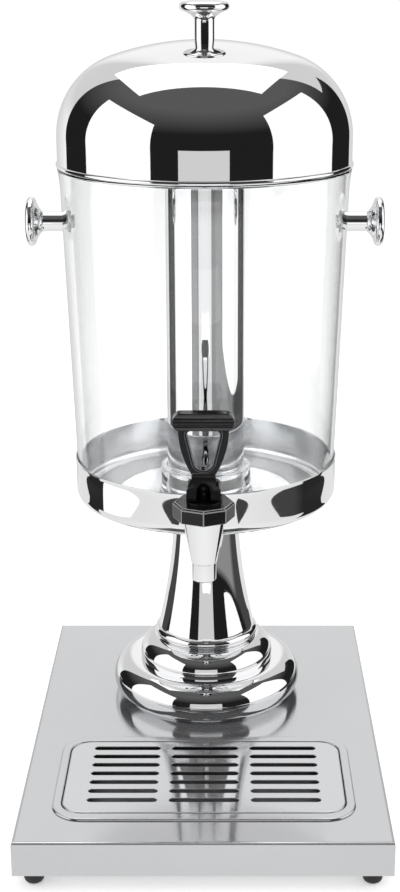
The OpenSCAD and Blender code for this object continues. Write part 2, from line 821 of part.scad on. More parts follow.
module lid_dome() {
    bead_centre = lid_r - lid_wall + lid_bead_r;
    color(bright_steel) difference() {
        on_axis(0) rotate_extrude() difference() {
            union() {
                difference() {
                    lid_section(0);
                    lid_section(lid_wall);
                    square([2 * lid_r, lid_z + lid_bead_r]);
                }
                translate([bead_centre - lid_bead_r, lid_z + lid_bead_r]) circle(lid_bead_r);
            }
        }
        on_axis(lid_wall_top) cylinder(d = screw_d + 2 * bolt_fit, h = lid_h);
    }
}

// Angle-section ring inside the rim that centres the lid in the container
module lid_ring() {
    flange_z = lid_z + 2 * lid_bead_r;
    color(steel) on_axis(0) rotate_extrude() {
        translate([lid_ring_r - lid_ring_t, lid_z - lid_ring_h])
            square([lid_ring_t, flange_z - lid_z + lid_ring_h + lid_ring_t]);
        translate([lid_ring_r - lid_ring_t, flange_z])
            square([lid_r - lid_wall - pin_fit - lid_ring_r + lid_ring_t, lid_ring_t]);
    }
}

// Half section of a turned knob standing on the X axis
module knob_section() {
    edge_z = knob_len - knob_crown - knob_edge_r;
    edge_r = knob_head_r - knob_edge_r;
    crown_r = (edge_r * edge_r + knob_crown * knob_crown) / (2 * knob_crown);
    flare_top = edge_z - knob_edge_r + eps;
    square([knob_stem_r, edge_z]);
    translate([edge_r, edge_z]) circle(knob_edge_r);
    translate([0, edge_z - knob_edge_r]) square([edge_r, 2 * knob_edge_r]);
    polygon(concat(
        [[0, knob_neck]],
        [for (i = [0 : curve_steps])
            let (t = i / curve_steps)
                [knob_stem_r + (edge_r - knob_stem_r) * t * t, knob_neck + (flare_top - knob_neck) * t]],
        [[0, flare_top]]
    ));
    intersection() {
        translate([0, knob_len - crown_r]) circle(crown_r, $fn = crown_fn);
        translate([0, knob_len - knob_crown - eps]) square([edge_r, knob_crown + eps]);
    }
}

// Knob with a blind screw hole, its stem run on below the seat by an extra length
module knob(extra) {
    difference() {
        union() {
            rotate_extrude() knob_section();
            translate([0, 0, -extra]) cylinder(r = knob_stem_r, h = extra + eps);
        }
        translate([0, 0, -extra - over])
            cylinder(d = screw_d + 2 * pin_fit, h = extra + screw_bury + 2 * over);
    }
}

module lid_knob() {
    color(bright_steel) on_axis(knob_seat) knob(0);
}

module lid_knob_screw() {
    head_top = knob_seat - lid_wall - washer_t;
    color(steel) on_axis(head_top) {
        translate([0, 0, -screw_head_h]) cylinder(r = screw_head_r, h = screw_head_h);
        translate([0, 0, -eps]) cylinder(d = screw_d, h = washer_t + lid_wall + screw_bury);
    }
}

module lid_knob_washer() {
    color(silicone) on_axis(knob_seat - lid_wall - washer_t)
        ring(washer_r, screw_d / 2 + bolt_fit, washer_t);
}

// Frame of a handle knob: its seat on the container wall, with +Z pointing away from the wall
module handle_place(side) {
    translate([side * con_r(handle_z), axis_y, handle_z]) rotate([0, side * 90, 0]) children();
}

module handle_places() {
    for (side = [-1, 1])
        handle_place(side) children();
}

// Solid that the container's wall fills, moved out or in from its outer face
module container_wall_body(shift) {
    reach = 4 * knob_head_r;
    on_axis(handle_z - reach / 2)
        cylinder(r1 = con_r(handle_z - reach / 2) + shift, r2 = con_r(handle_z + reach / 2) + shift,
            h = reach, $fn = wall_fn);
}

// Knob whose stem is cut to the curve of the container
module handle_knob(side) {
    color(bright_steel) difference() {
        handle_place(side) knob(stem_run);
        container_wall_body(pin_fit);
    }
}

module handle_knob_left() { handle_knob(-1); }
module handle_knob_right() { handle_knob(1); }

module handle_screws() {
    under = -con_wall - washer_t - pin_fit;
    color(steel) handle_places() {
        translate([0, 0, under - screw_head_h]) cylinder(r = screw_head_r, h = screw_head_h);
        translate([0, 0, under - eps]) cylinder(d = screw_d, h = screw_bury - under);
    }
}

// Washers cut to the curve of the container's inner face
module handle_washers() {
    color(silicone) intersection() {
        handle_places() translate([0, 0, -con_wall - washer_t - pin_fit])
            ring(washer_r, screw_d / 2 + bolt_fit, 2 * washer_t);
        container_wall_body(-con_wall - pin_fit);
    }
}

// Valve body: a shank through the vessel wall and a conical spout
module tap_body() {
    shoulder_y = bowl_front - gasket_t;
    color(bright_steel) difference() {
        union() {
            on_tap(0) rotate_extrude() {
                translate([0, tip_z]) square([tip_r, tip_h + eps]);
                polygon([[0, cone_z], [tip_r, cone_z], [barrel_r, bonnet_z], [0, bonnet_z]]);
                translate([0, bonnet_z - eps]) square([neck_r, neck_h + eps]);
            }
            on_shank(tap_y) cylinder(r = shank_r, h = shank_tail - tap_y);
            on_shank(shoulder_y - shoulder_t) cylinder(r = shoulder_r, h = shoulder_t);
        }
        on_tap(seat_z) cylinder(r = chamber_r, h = neck_top - seat_z + over);
        on_tap(tip_z - over) cylinder(r = outlet_r, h = seat_z - tip_z + 2 * over);
        on_shank(tap_y) cylinder(r = shank_bore_r, h = shank_tail - tap_y + over);
    }
}

// Octagonal cap with a corner to the front and a raised round top
module tap_bonnet() {
    color(black_plastic) on_tap(bonnet_z) difference() {
        union() {
            cylinder(r = bonnet_r, h = bonnet_h - bonnet_chamfer, $fn = 8);
            translate([0, 0, bonnet_h - bonnet_chamfer])
                cylinder(r1 = bonnet_r, r2 = bonnet_r - bonnet_chamfer, h = bonnet_chamfer, $fn = 8);
            cylinder(r = crown_r, h = bonnet_h + crown_h);
        }
        translate([0, 0, -over]) cylinder(r = neck_r + running_fit, h = bonnet_under - bonnet_z + over);
        cylinder(r = stem_r + running_fit, h = bonnet_h + crown_h + over);
    }
}

// Gasket between the shoulder and the bowl, hollowed to the bowl's curve
module tap_gasket_outer() {
    color(rubber) difference() {
        on_shank(bowl_front - gasket_t) ring(gasket_r, shank_r + pin_fit, 2 * gasket_t);
        on_axis(bowl_z) cylinder(r = bowl_r + pin_fit, h = bowl_h, $fn = wall_fn);
    }
}

// Gasket inside the container, rounded to the wall's curve
module tap_gasket_inner() {
    wall_low = con_r(bowl_z) - con_wall - pin_fit;
    wall_high = con_r(bowl_rim) - con_wall - pin_fit;
    color(rubber) intersection() {
        on_shank(inner_wall_y - gasket_t) ring(gasket_r, shank_r + pin_fit, 2 * gasket_t);
        on_axis(bowl_z) cylinder(r1 = wall_low, r2 = wall_high, h = bowl_h, $fn = wall_fn);
    }
}

module tap_washer() {
    color(steel) on_shank(inner_wall_y + gasket_t)
        ring(gasket_r, shank_r + bolt_fit, tap_washer_t);
}

module tap_lock_nut() {
    color(black_plastic) on_shank(inner_wall_y + gasket_t + tap_washer_t)
        hex_nut(lock_nut_w, shank_r + pin_fit, lock_nut_t);
}

// Valve stem: a ball for the lever pin, a rod and a spring flange with a button for the cup
module tap_stem() {
    button_h = cup_h / 2;
    color(bright_steel) difference() {
        union() {
            on_tap(flange_z) cylinder(r = stem_flange_r, h = stem_flange_t);
            on_tap(flange_z) cylinder(r = stem_r, h = pin_z - flange_z);
            on_tap(pin_z) sphere(r = stem_ball_r);
            on_tap(flange_z - button_h) cylinder(r = stem_r, h = button_h + eps);
        }
        on_tap(pin_z) translate([-2 * stem_ball_r, 0, 0]) rotate([0, 90, 0])
            cylinder(r = pin_d / 2 + pin_fit / 2, h = 4 * stem_ball_r);
    }
}

// Silicone cup that closes the outlet
module tap_seat_cup() {
    color(silicone) on_tap(cup_z) difference() {
        cylinder(r = cup_r, h = cup_h);
        translate([0, 0, cup_h / 2 - pin_fit]) cylinder(r = stem_r + pin_fit, h = cup_h);
    }
}

// Closing spring: one unbroken six-sided wire wound round the stem
spring_len = bonnet_under - spring_z - 2 * pass_gap;
spring_pitch = (spring_len - spring_wire) / spring_turns;
spring_sides = 6;
spring_rings = 8;
spring_steps = spring_turns * spring_rings;
function spring_point(step, side) =
    let (
        a = 360 * step / spring_rings,
        b = 360 * side / spring_sides,
        reach = spring_r + spring_wire / 2 * cos(b)
    )
    [reach * cos(a), reach * sin(a), spring_pitch * step / spring_rings + spring_wire / 2 * sin(b)];
spring_points = [
    for (step = [0 : spring_steps], side = [0 : spring_sides - 1]) spring_point(step, side)
];
// Least distance between a ring's points and those one turn later
spring_gap = min([
    for (a = [0 : spring_sides - 1], b = [0 : spring_sides - 1])
        norm(spring_point(spring_rings, a) - spring_point(0, b))
]);
echo(least_gap_between_spring_turns = spring_gap);

module tap_spring() {
    last = spring_steps * spring_sides;
    walls = [
        for (step = [0 : spring_steps - 1], side = [0 : spring_sides - 1])
            let (
                a = step * spring_sides + side,
                b = step * spring_sides + (side + 1) % spring_sides
            )
            each [[a, a + spring_sides, b], [b, a + spring_sides, b + spring_sides]]
    ];
    ends = [
        for (side = [1 : spring_sides - 2])
            each [[0, side, side + 1], [last, last + side + 1, last + side]]
    ];
    color(steel) on_tap(spring_z + pass_gap + spring_wire / 2)
        polyhedron(points = spring_points, faces = concat(walls, ends));
}

module tap_lever_pin() {
    color(bright_steel) on_tap(pin_z) translate([-fork_w / 2 + pass_gap, 0, 0]) rotate([0, 90, 0])
        cylinder(d = pin_d, h = fork_w - 2 * pass_gap);
}

// Side outline of the fork about the pin: a flat heel that runs into the cam
module fork_side() {
    cam_end = cam_point(lever_swing);
    polygon(concat(
        [[fork_back, lever_neck_z], [fork_back, -heel]],
        [for (i = [0 : curve_steps]) cam_point(lever_swing * i / curve_steps)],
        [cam_end + cam_nose * [1 / 4, 1], [-lever_t / 2, lever_neck_z]]
    ));
}

// Front outline of the fork: straight cheeks that draw in to the neck
module fork_front() {
    shoulder = (fork_w - lever_neck_w) / 2;
    translate([-fork_w / 2, -heel - over]) square([fork_w, heel + over]);
    translate([-lever_neck_w / 2, 0]) square([lever_neck_w, lever_neck_z]);
    intersection() {
        union() {
            for (x = [-1, 1])
                translate([x * lever_neck_w / 2, 0]) circle(shoulder);
        }
        translate([-fork_w / 2, -eps]) square([fork_w, lever_neck_z]);
    }
}

// Front outline of the lever's frame, which widens in a curve from the neck to the grip
module frame_front() {
    low = lever_neck_z + lever_neck_h;
    side = [
        for (i = [0 : curve_steps])
            let (t = i / curve_steps)
                [(frame_w - (frame_w - lever_neck_w) * (1 - t) * (1 - t)) / 2, low + (grip_z - low) * t]
    ];
    for (x = [0, 1]) mirror([x, 0])
        polygon(concat(
            [[-eps, lever_neck_z - lever_neck_h], [lever_neck_w / 2, lever_neck_z - lever_neck_h]],
            side,
            [[frame_w / 2, grip_z + grip_h / 2], [-eps, grip_z + grip_h / 2]]
        ));
}

// Direction from the middle of two circles to the line that touches both on their right
function tangent_angle(c1, r1, c2, r2) =
    let (d = c2 - c1) atan2(d[1], d[0]) - acos((r1 - r2) / norm(d));

// Finger opening, widened by a margin: wide under the grip, round at its lower end and corners
module finger_hole(margin) {
    low = [0, finger_z + finger_r];
    high = [finger_w / 2 - finger_corner_r, grip_z - finger_corner_r];
    low_r = finger_r + margin;
    high_r = finger_corner_r + margin;
    a = tangent_angle(low, low_r, high, high_r);
    side = [low + low_r * [cos(a), sin(a)], high + high_r * [cos(a), sin(a)]];
    translate(low) circle(low_r);
    for (x = [0, 1]) mirror([x, 0]) {
        translate(high) circle(high_r);
        polygon([low - [eps, 0], side[0], side[1], high, high + [0, high_r], [-eps, grip_z + margin]]);
    }
}

// Side outline of the grip bar: a block with round ribs on its front
module grip_side() {
    rib_r = grip_h / (2 * grip_ribs);
    translate([-grip_t + lever_t / 2 + rib_r, grip_z]) square([grip_t - rib_r, grip_h]);
    for (i = [0 : grip_ribs - 1])
        translate([-grip_t + lever_t / 2 + rib_r, grip_z + rib_r * (2 * i + 1)]) circle(rib_r);
}

// Extrudes an outline drawn in Y and Z along X, centred
module along_x(w) {
    translate([-w / 2, 0, 0]) rotate([90, 0, 90]) linear_extrude(height = w) children();
}

// Extrudes an outline drawn in X and Z along Y, from y to the back
module along_y(y, t) {
    translate([0, y + t, 0]) rotate([90, 0, 0]) linear_extrude(height = t) children();
}

// Lever: a forked heel with its cam, an open frame and a ribbed grip bar
module tap_lever() {
    deep = 4 * fork_back;
    color(black_plastic) on_tap(pin_z) difference() {
        union() {
            intersection() {
                along_x(fork_w) fork_side();
                along_y(-deep, 2 * deep) fork_front();
            }
            along_y(-lever_t / 2, lever_t) frame_front();
            along_y(-lever_t / 2 - rim_h, lever_t) finger_hole(rim_w);
            along_x(lever_neck_w) translate([-lever_t / 2, lever_neck_z + lever_neck_h]) circle(ridge_r);
            intersection() {
                along_x(grip_w) grip_side();
                along_y(-deep, 2 * deep) translate([0, grip_z + grip_h / 2])
                    rounded_rect(grip_w, grip_h, grip_end_r);
            }
        }
        along_y(-deep, deep + stem_ball_r + pass_gap) {
            circle(fork_slot / 2);
            translate([-fork_slot / 2, -deep]) square([fork_slot, deep]);
        }
        along_y(-deep, 2 * deep) finger_hole(0);
        translate([-fork_w, 0, 0]) rotate([0, 90, 0])
            cylinder(r = pin_d / 2 + running_fit, h = 2 * fork_w);
    }
}

base_housing();
foot_front_left();
foot_front_right();
foot_rear_left();
foot_rear_right();
foot_studs();
foot_nuts();
drip_tray();
drip_grille();
pedestal_bulb();
pedestal_ring();
pedestal_column();
column_plug();
base_stiffener();
tie_rod();
tie_rod_nuts();
tie_rod_washers();
container_bowl();
bowl_spigot();
container_pad();
container();
ice_tube();
ice_tube_seal();
lid_dome();
lid_ring();
lid_knob();
lid_knob_screw();
lid_knob_washer();
handle_knob_left();
handle_knob_right();
handle_screws();
handle_washers();
tap_body();
tap_bonnet();
tap_gasket_outer();
tap_gasket_inner();
tap_washer();
tap_lock_nut();
tap_stem();
tap_seat_cup();
tap_spring();
tap_lever_pin();
tap_lever();
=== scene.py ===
"""Dresses the juice dispenser: smooth turned steel, clear container, moulded tap, studio and camera.

Sizes of pieces are in millimetres, sizes of the studio in metres.
"""

import json
import logging
import math
from collections.abc import Callable
from dataclasses import dataclass
from enum import Enum

import bmesh
import bpy
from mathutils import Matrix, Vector


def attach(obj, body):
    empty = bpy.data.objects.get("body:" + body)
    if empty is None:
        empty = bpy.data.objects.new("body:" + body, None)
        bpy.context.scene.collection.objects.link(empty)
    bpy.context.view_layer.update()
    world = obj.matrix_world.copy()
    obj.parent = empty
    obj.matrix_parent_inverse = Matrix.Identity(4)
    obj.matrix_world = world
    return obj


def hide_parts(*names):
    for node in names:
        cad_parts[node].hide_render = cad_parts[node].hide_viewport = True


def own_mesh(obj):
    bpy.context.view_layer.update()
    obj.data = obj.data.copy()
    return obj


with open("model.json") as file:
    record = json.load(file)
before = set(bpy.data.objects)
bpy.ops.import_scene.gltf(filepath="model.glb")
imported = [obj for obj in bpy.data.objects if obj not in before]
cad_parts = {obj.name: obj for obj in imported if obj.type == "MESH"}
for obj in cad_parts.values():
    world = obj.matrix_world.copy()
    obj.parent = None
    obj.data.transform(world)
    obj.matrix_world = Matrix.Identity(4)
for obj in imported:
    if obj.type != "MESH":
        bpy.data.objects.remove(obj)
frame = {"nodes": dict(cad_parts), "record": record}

Piece = bpy.types.Object
Socket = bpy.types.NodeSocket
Point = tuple[float, float]
Point3 = tuple[float, float, float]
Inputs = dict[str | int, object]

LOG = logging.getLogger("juice_dispenser")
MM = 0.001
# Axis of pedestal and vessel, and height of the tap's shank
AXIS_Y = 61.0
SHANK_Z = 222.7
# Angles past which an edge stays sharp, on turned pieces and on sheet or mouldings
CREASE = 32.0
SHEET_CREASE = 50.0
# Least upward share of the normal of a level face
LEVEL = 0.5
# Pieces round the axis of the large turned pieces
FINE = 192
WHITE = (1.0, 1.0, 1.0, 1.0)


class Axis(Enum):
    """Direction of a turned or extruded piece's own axis."""

    X = (1.0, 0.0, 0.0)
    Y = (0.0, 1.0, 0.0)
    Z = (0.0, 0.0, 1.0)

    def lathe(self, r: float, h: float) -> Vector:
        """Place of a point at a radius and at a height along the axis."""
        return Vector({Axis.X: (h, 0, r), Axis.Y: (r, h, 0), Axis.Z: (r, 0, h)}[self])

    def layer(self, a: float, b: float, h: float) -> Vector:
        """Place of an outline's point at a height along the axis."""
        return Vector({Axis.X: (h, a, b), Axis.Y: (a, h, b), Axis.Z: (a, b, h)}[self])


class Body(Enum):
    """Bodies of the frame that pieces ride on."""

    BASE = "base"
    TRAY = "tray"
    GRILLE = "grille"
    VESSEL = "vessel"
    ICE_TUBE = "ice_tube"
    LID = "lid"
    STEM = "stem"
    LEVER = "lever"


class Cut(Enum):
    """Ways of combining two solids."""

    LESS = "DIFFERENCE"
    BOTH = "INTERSECT"
    MORE = "UNION"


def arc(cx: float, cz: float, r: float, start: float, end: float, steps: int = 10) -> list[Point]:
    """Points of a circular arc.

    Args:
        cx: First coordinate of the centre.
        cz: Second coordinate of the centre.
        r: Radius.
        start: First angle in degrees.
        end: Last angle in degrees.
        steps: Number of straight pieces.

    Returns:
        The points from the first angle to the last.
    """
    angles = [math.radians(start + (end - start) * i / steps) for i in range(steps + 1)]
    return [(cx + r * math.cos(a), cz + r * math.sin(a)) for a in angles]


def circle(r: float, sides: int, cx: float = 0.0, cz: float = 0.0) -> list[Point]:
    """Corners of the regular polygon that stands for a circle."""
    return arc(cx, cz, r, 0, 360 - 360 / sides, sides - 1)


def bar(r: float, low: float, high: float) -> list[Point]:
    """Half section of a plain round bar."""
    return [(0, low), (r, low), (r, high), (0, high)]


def mirrored(right: list[Point]) -> list[Point]:
    """Outline made of a right half and its mirror image."""
    return right + [(-x, z) for x, z in right[::-1]]


def rounded_rect(w: float, d: float, r: float, steps: int = 10) -> list[Point]:
    """Outline of a rectangle with round corners about the origin.

    Args:
        w: Width.
        d: Depth.
        r: Corner radius.
        steps: Straight pieces in each corner.

    Returns:
        The points anticlockwise.
    """
    points: list[Point] = []
    for k, (x, y) in enumerate(((1, 1), (-1, 1), (-1, -1), (1, -1))):
        points += arc(x * (w / 2 - r), y * (d / 2 - r), r, 90 * k, 90 * k + 90, steps)
    return points


class Bench:
    """Modelling steps, made with the operators that a person would use."""

    @staticmethod
    def deselect() -> None:
        """Leaves nothing selected, in object mode."""
        if bpy.context.object and bpy.context.object.mode != "OBJECT":
            Bench.done()
        bpy.ops.object.select_all(action="DESELECT")

    @staticmethod
    def pick(piece: Piece) -> None:
        """Selects one object alone and makes it active.

        Args:
            piece: The object.
        """
        Bench.deselect()
        piece.select_set(True)
        bpy.context.view_layer.objects.active = piece

    @staticmethod
    def edit(piece: Piece) -> None:
        """Opens one object in edit mode with everything selected.

        Args:
            piece: The object.
        """
        Bench.pick(piece)
        bpy.ops.object.mode_set(mode="EDIT")
        bpy.ops.mesh.select_all(action="SELECT")

    @staticmethod
    def done() -> None:
        """Goes back to object mode."""
        bpy.ops.object.mode_set(mode="OBJECT")

    @staticmethod
    def named(name: str) -> Piece:
        """Names the object that was just added, and its mesh.

        Args:
            name: The name.

        Returns:
            The object.
        """
        piece = bpy.context.object
        piece.name = piece.data.name = name
        return piece

    @staticmethod
    def select(piece: Piece, parts: str, chosen: Callable[..., bool]) -> None:
        """Selects some parts of a mesh, in edit mode.

        Args:
            piece: The object.
            parts: Kind of part: verts, edges or faces.
            chosen: Says for each part whether it is selected.
        """
        bpy.ops.mesh.select_all(action="DESELECT")
        mesh = bmesh.from_edit_mesh(piece.data)
        for part in getattr(mesh, parts):
            part.select = chosen(part)
        mesh.select_flush(True)
        bmesh.update_edit_mesh(piece.data)

    @staticmethod
    def chain(name: str, points: list[Vector], closed: bool = True) -> Piece:
        """Draws a line of vertices by extruding one vertex from point to point.

        Args:
            name: Name of the new object.
            points: Points in millimetres.
            closed: Whether the last point is joined to the first.

        Returns:
            The new object, left in edit mode.
        """
        same = 1e-6
        spots = [point * MM for point in points]
        Bench.deselect()
        bpy.ops.mesh.primitive_plane_add(size=MM)
        piece = Bench.named(name)
        Bench.edit(piece)
        bpy.ops.mesh.merge(type="CENTER")
        bpy.ops.transform.translate(value=spots[0])
        for a, b in zip(spots, spots[1:]):
            bpy.ops.mesh.extrude_vertices_move(TRANSFORM_OT_translate={"value": b - a})
        if closed:
            ends = spots[0], spots[-1]
            Bench.select(piece, "verts", lambda vert: min((vert.co - end).length for end in ends) < same)
            bpy.ops.mesh.edge_face_add()
        bpy.ops.mesh.select_all(action="SELECT")
        return piece

    @staticmethod
    def extrude(shift: Vector) -> None:
        """Extrudes the selected face by a distance in millimetres."""
        bpy.ops.mesh.extrude_region_move(TRANSFORM_OT_translate={"value": shift * MM})

    @staticmethod
    def clean() -> None:
        """Merges doubles and turns all faces outwards, and leaves edit mode."""
        near = 2e-6
        bpy.ops.mesh.select_all(action="SELECT")
        bpy.ops.mesh.remove_doubles(threshold=near)
        bpy.ops.mesh.normals_make_consistent(inside=False)
        Bench.done()

    @staticmethod
    def turn(name: str, profile: list[Point], origin: Point3, axis: Axis = Axis.Z, steps: int = 96,
             crease: float = CREASE) -> Piece:
        """Turns a half section round an axis, as on a lathe.

        Args:
            name: Name of the new object.
            profile: Radius and height of each point of the section, which is closed unless it starts on the axis.
            origin: Point on the axis that the heights start from.
            axis: Direction of the axis.
            steps: Pieces round the axis.
            crease: Angle in degrees past which an edge stays sharp.

        Returns:
            The new object, in object mode.
        """
        spots = [Vector(origin) + axis.lathe(r, h) for r, h in profile]
        piece = Bench.chain(name, spots, profile[0][0] > 0)
        bpy.ops.mesh.spin(steps=steps, angle=2 * math.pi, center=Vector(origin) * MM, axis=axis.value)
        Bench.clean()
        Bench.smooth(piece, crease)
        return piece

    @staticmethod
    def prism(name: str, outline: list[Point], span: Point, origin: Point3, axis: Axis = Axis.Z) -> Piece:
        """Extrudes an outline to a solid.

        Args:
            name: Name of the new object.
            outline: Points: X and Y for axis Z, X and Z for axis Y, Y and Z for axis X.
            span: Where the solid starts and ends along the axis.
            origin: Place of the outline's own origin.
            axis: Direction of the extrusion.

        Returns:
            The new object, in object mode.
        """
        low, high = span
        piece = Bench.chain(name, [Vector(origin) + axis.layer(a, b, low) for a, b in outline])
        bpy.ops.mesh.edge_face_add()
        Bench.extrude(Vector(axis.value) * (high - low))
        Bench.clean()
        return piece

    @staticmethod
    def apply(piece: Piece, kind: str, **settings: object) -> None:
        """Adds a modifier and applies it.

        Args:
            piece: The object.
            kind: Type of the modifier.
            settings: Values of the modifier's own properties.
        """
        Bench.pick(piece)
        step = piece.modifiers.new(kind.lower(), kind)
        for key, value in settings.items():
            setattr(step, key, value)
        bpy.ops.object.modifier_apply(modifier=step.name)

    @staticmethod
    def thicken(piece: Piece, sheet: float) -> None:
        """Makes a surface a sheet of this thickness, measured inwards."""
        Bench.apply(piece, "SOLIDIFY", thickness=sheet * MM, offset=-1.0, use_even_offset=True)

    @staticmethod
    def combine(piece: Piece, tool: Piece, how: Cut = Cut.LESS) -> None:
        """Combines a solid with a tool, which is used up.

        Args:
            piece: The solid that is kept.
            tool: The solid that is cut out, kept in common or added.
            how: How the two are combined.
        """
        Bench.apply(piece, "BOOLEAN", object=tool, operation=how.value, solver="EXACT")
        Bench.pick(tool)
        bpy.ops.object.delete()

    @staticmethod
    def drill(piece: Piece, r: float, span: Point, origin: Point3, axis: Axis = Axis.Z, sides: int = 24) -> None:
        """Cuts a round hole.

        Args:
            piece: The solid.
            r: Radius of the hole.
            span: Where the cut starts and ends along the axis.
            origin: Point on the hole's axis that the span counts from.
            axis: Direction of the hole.
            sides: Flat sides that the hole is made of.
        """
        Bench.combine(piece, Bench.prism("drill", circle(r, sides), span, origin, axis))

    @staticmethod
    def soften(piece: Piece, width: float, segments: int) -> None:
        """Rounds the edges of a sheet piece.

        Args:
            piece: The object.
            width: Width of the rounding.
            segments: Straight pieces in each rounding.
        """
        Bench.apply(piece, "BEVEL", width=width * MM, segments=segments, limit_method="ANGLE",
                    angle_limit=math.radians(SHEET_CREASE), use_clamp_overlap=True)

    @staticmethod
    def paint_edge_highlight(piece: Piece, width: float, angle: float, low: float = 0.0) -> None:
        """Rounds the outward edges of a piece and gives them its second material slot, a lighter colour that paints a
        highlight along them.

        Args:
            piece: The object.
            width: Width of the rounding.
            angle: Least angle in degrees of an edge that is rounded.
            low: Height that such an edge lies above.
        """
        near, flat = 8e-5, math.radians(2.0)
        Bench.edit(piece)
        bpy.ops.mesh.remove_doubles(threshold=near)
        bpy.ops.mesh.dissolve_limited(angle_limit=flat)
        Bench.select(piece, "edges", lambda edge: all(vert.co.z > low * MM for vert in edge.verts)
                     and edge.is_manifold and edge.calc_face_angle_signed() > math.radians(angle))
        bpy.ops.mesh.bevel(offset=width * MM, segments=3, affect="EDGES", material=1, clamp_overlap=True)
        Bench.done()

    @staticmethod
    def smooth(piece: Piece, crease: float = CREASE) -> None:
        """Shades a piece smooth up to edges of this angle in degrees."""
        Bench.pick(piece)
        bpy.ops.object.shade_smooth_by_angle(angle=math.radians(crease))

    @staticmethod
    def smooth_edges(piece: Piece) -> None:
        """Shades a piece smooth round its edges, while its large faces stay flat."""
        Bench.smooth(piece, SHEET_CREASE)
        Bench.apply(piece, "WEIGHTED_NORMAL", mode="FACE_AREA", weight=100, keep_sharp=True)

    @staticmethod
    def join(pieces: list[Piece]) -> Piece:
        """Joins pieces to the first of them.

        Args:
            pieces: The objects, of which the first is kept.

        Returns:
            The joined object.
        """
        Bench.pick(pieces[0])
        for piece in pieces:
            piece.select_set(True)
        bpy.ops.object.join()
        return pieces[0]

    @staticmethod
    def spread(first: Piece, names: list[str], places: list[Point]) -> list[Piece]:
        """Copies a piece from the first of some places to the others.

        Args:
            first: The piece, which stands at the first place.
            names: Name of the piece at each place.
            places: X and Y of each place.

        Returns:
            The pieces in the order of their places.
        """
        pieces = [first]
        for name, (x, y) in zip(names[1:], places[1:]):
            Bench.pick(first)
            bpy.ops.object.duplicate()
            pieces.append(Bench.named(name))
            Bench.edit(pieces[-1])
            bpy.ops.transform.translate(value=Vector((x - places[0][0], y - places[0][1], 0)) * MM)
            Bench.done()
        return pieces


@dataclass(frozen=True)
class Wires:
    """Adds nodes to one shader tree and joins them."""

    tree: bpy.types.NodeTree

    def feed(self, node: bpy.types.Node, inputs: Inputs) -> bpy.types.NodeOutputs:
        """Gives a node's inputs their constants and links.

        Args:
            node: The node.
            inputs: Constant of each input, or the output that is linked to it, by name or number.

        Returns:
            The node's outputs.
        """
        for key, value in inputs.items():
            if isinstance(value, Socket):
                self.tree.links.new(value, node.inputs[key])
            else:
                node.inputs[key].default_value = value
        return node.outputs

    def add(self, kind: str, inputs: Inputs | None = None, **settings: object) -> bpy.types.NodeOutputs:
        """Adds a node.

        Args:
            kind: Type of the node, without the common first part of its name.
            inputs: Its constants and links.
            settings: Values of its own properties.

        Returns:
            The node's outputs.
        """
        node = self.tree.nodes.new("ShaderNode" + kind)
        for key, value in settings.items():
            setattr(node, key, value)
        return self.feed(node, inputs or {})

    def given(self, kind: str, inputs: Inputs) -> bpy.types.NodeOutputs:
        """Feeds the node of this type that a new tree starts with, and returns its outputs."""
        return self.feed(next(node for node in self.tree.nodes if node.type == kind), inputs)

    def maths(self, how: str, *values: float | Socket) -> Socket:
        """Adds a maths node and returns its result."""
        return self.add("Math", dict(enumerate(values)), operation=how)[0]

    def both(self, a: Socket, b: Socket) -> Socket:
        """Multiplies two values, which says that both hold where they are 0 or 1."""
        return self.maths("MULTIPLY", a, b)

    def blend(self, share: Socket, low: float | Socket, high: float | Socket) -> Socket:
        """Goes from a low value to a high one as a share goes from 0 to 1."""
        return self.maths("MULTIPLY_ADD", share, self.maths("SUBTRACT", high, low), low)

    def slide(self, value: Socket, start: Point, end: Point | tuple[Socket, Socket] = (0.0, 1.0)) -> Socket:
        """Maps a value from one range to another."""
        return self.add("MapRange", {"Value": value, "From Min": start[0], "From Max": start[1],
                                     "To Min": end[0], "To Max": end[1]})["Result"]


class Texture(Enum):
    """Surface effects that several finishes share."""

    POLISH = "polish_marks"
    GRAIN = "moulded_grain"

    def group(self) -> bpy.types.NodeTree:
        """Makes the effect once: marks of a polishing wheel, or the pimpled grain of a moulding.

        Returns:
            A node group with the outputs Cloud, Mark and Gloss.
        """
        if self.value in bpy.data.node_groups:
            return bpy.data.node_groups[self.value]
        tree = bpy.data.node_groups.new(self.value, "ShaderNodeTree")
        for name in ("Place", "Stretch"):
            tree.interface.new_socket(name, in_out="INPUT", socket_type="NodeSocketVector")
        for name in ("Scale", "Low", "High"):
            tree.interface.new_socket(name, in_out="INPUT", socket_type="NodeSocketFloat")
        for name in ("Cloud", "Mark", "Gloss"):
            tree.interface.new_socket(name, in_out="OUTPUT", socket_type="NodeSocketFloat")
        wires, give = Wires(tree), tree.nodes.new("NodeGroupInput").outputs
        spot = wires.add("VectorMath", {0: give["Place"], 1: give["Stretch"]}, operation="MULTIPLY")["Vector"]
        if self is Texture.POLISH:
            clouds = {"Scale": 14.0, "Detail": 2.0, "Roughness": 0.5}
            marks = {"Vector": spot, "Scale": give["Scale"], "Detail": 3.0, "Roughness": 0.6}
            mark = shine = wires.add("TexNoise", marks)["Fac"]
            cloud = wires.add("TexNoise", {"Vector": give["Place"], **clouds})["Fac"]
        else:
            clouds = {"Scale": 45.0, "Detail": 3.0, "Roughness": 0.55}
            mark = wires.add("TexVoronoi", {"Vector": spot, "Scale": give["Scale"]})["Distance"]
            cloud = shine = wires.add("TexNoise", {"Vector": give["Place"], **clouds})["Fac"]
        gloss = wires.slide(shine, (0.3, 0.7), (give["Low"], give["High"]))
        wires.feed(tree.nodes.new("NodeGroupOutput"), {"Cloud": cloud, "Mark": mark, "Gloss": gloss})
        return tree


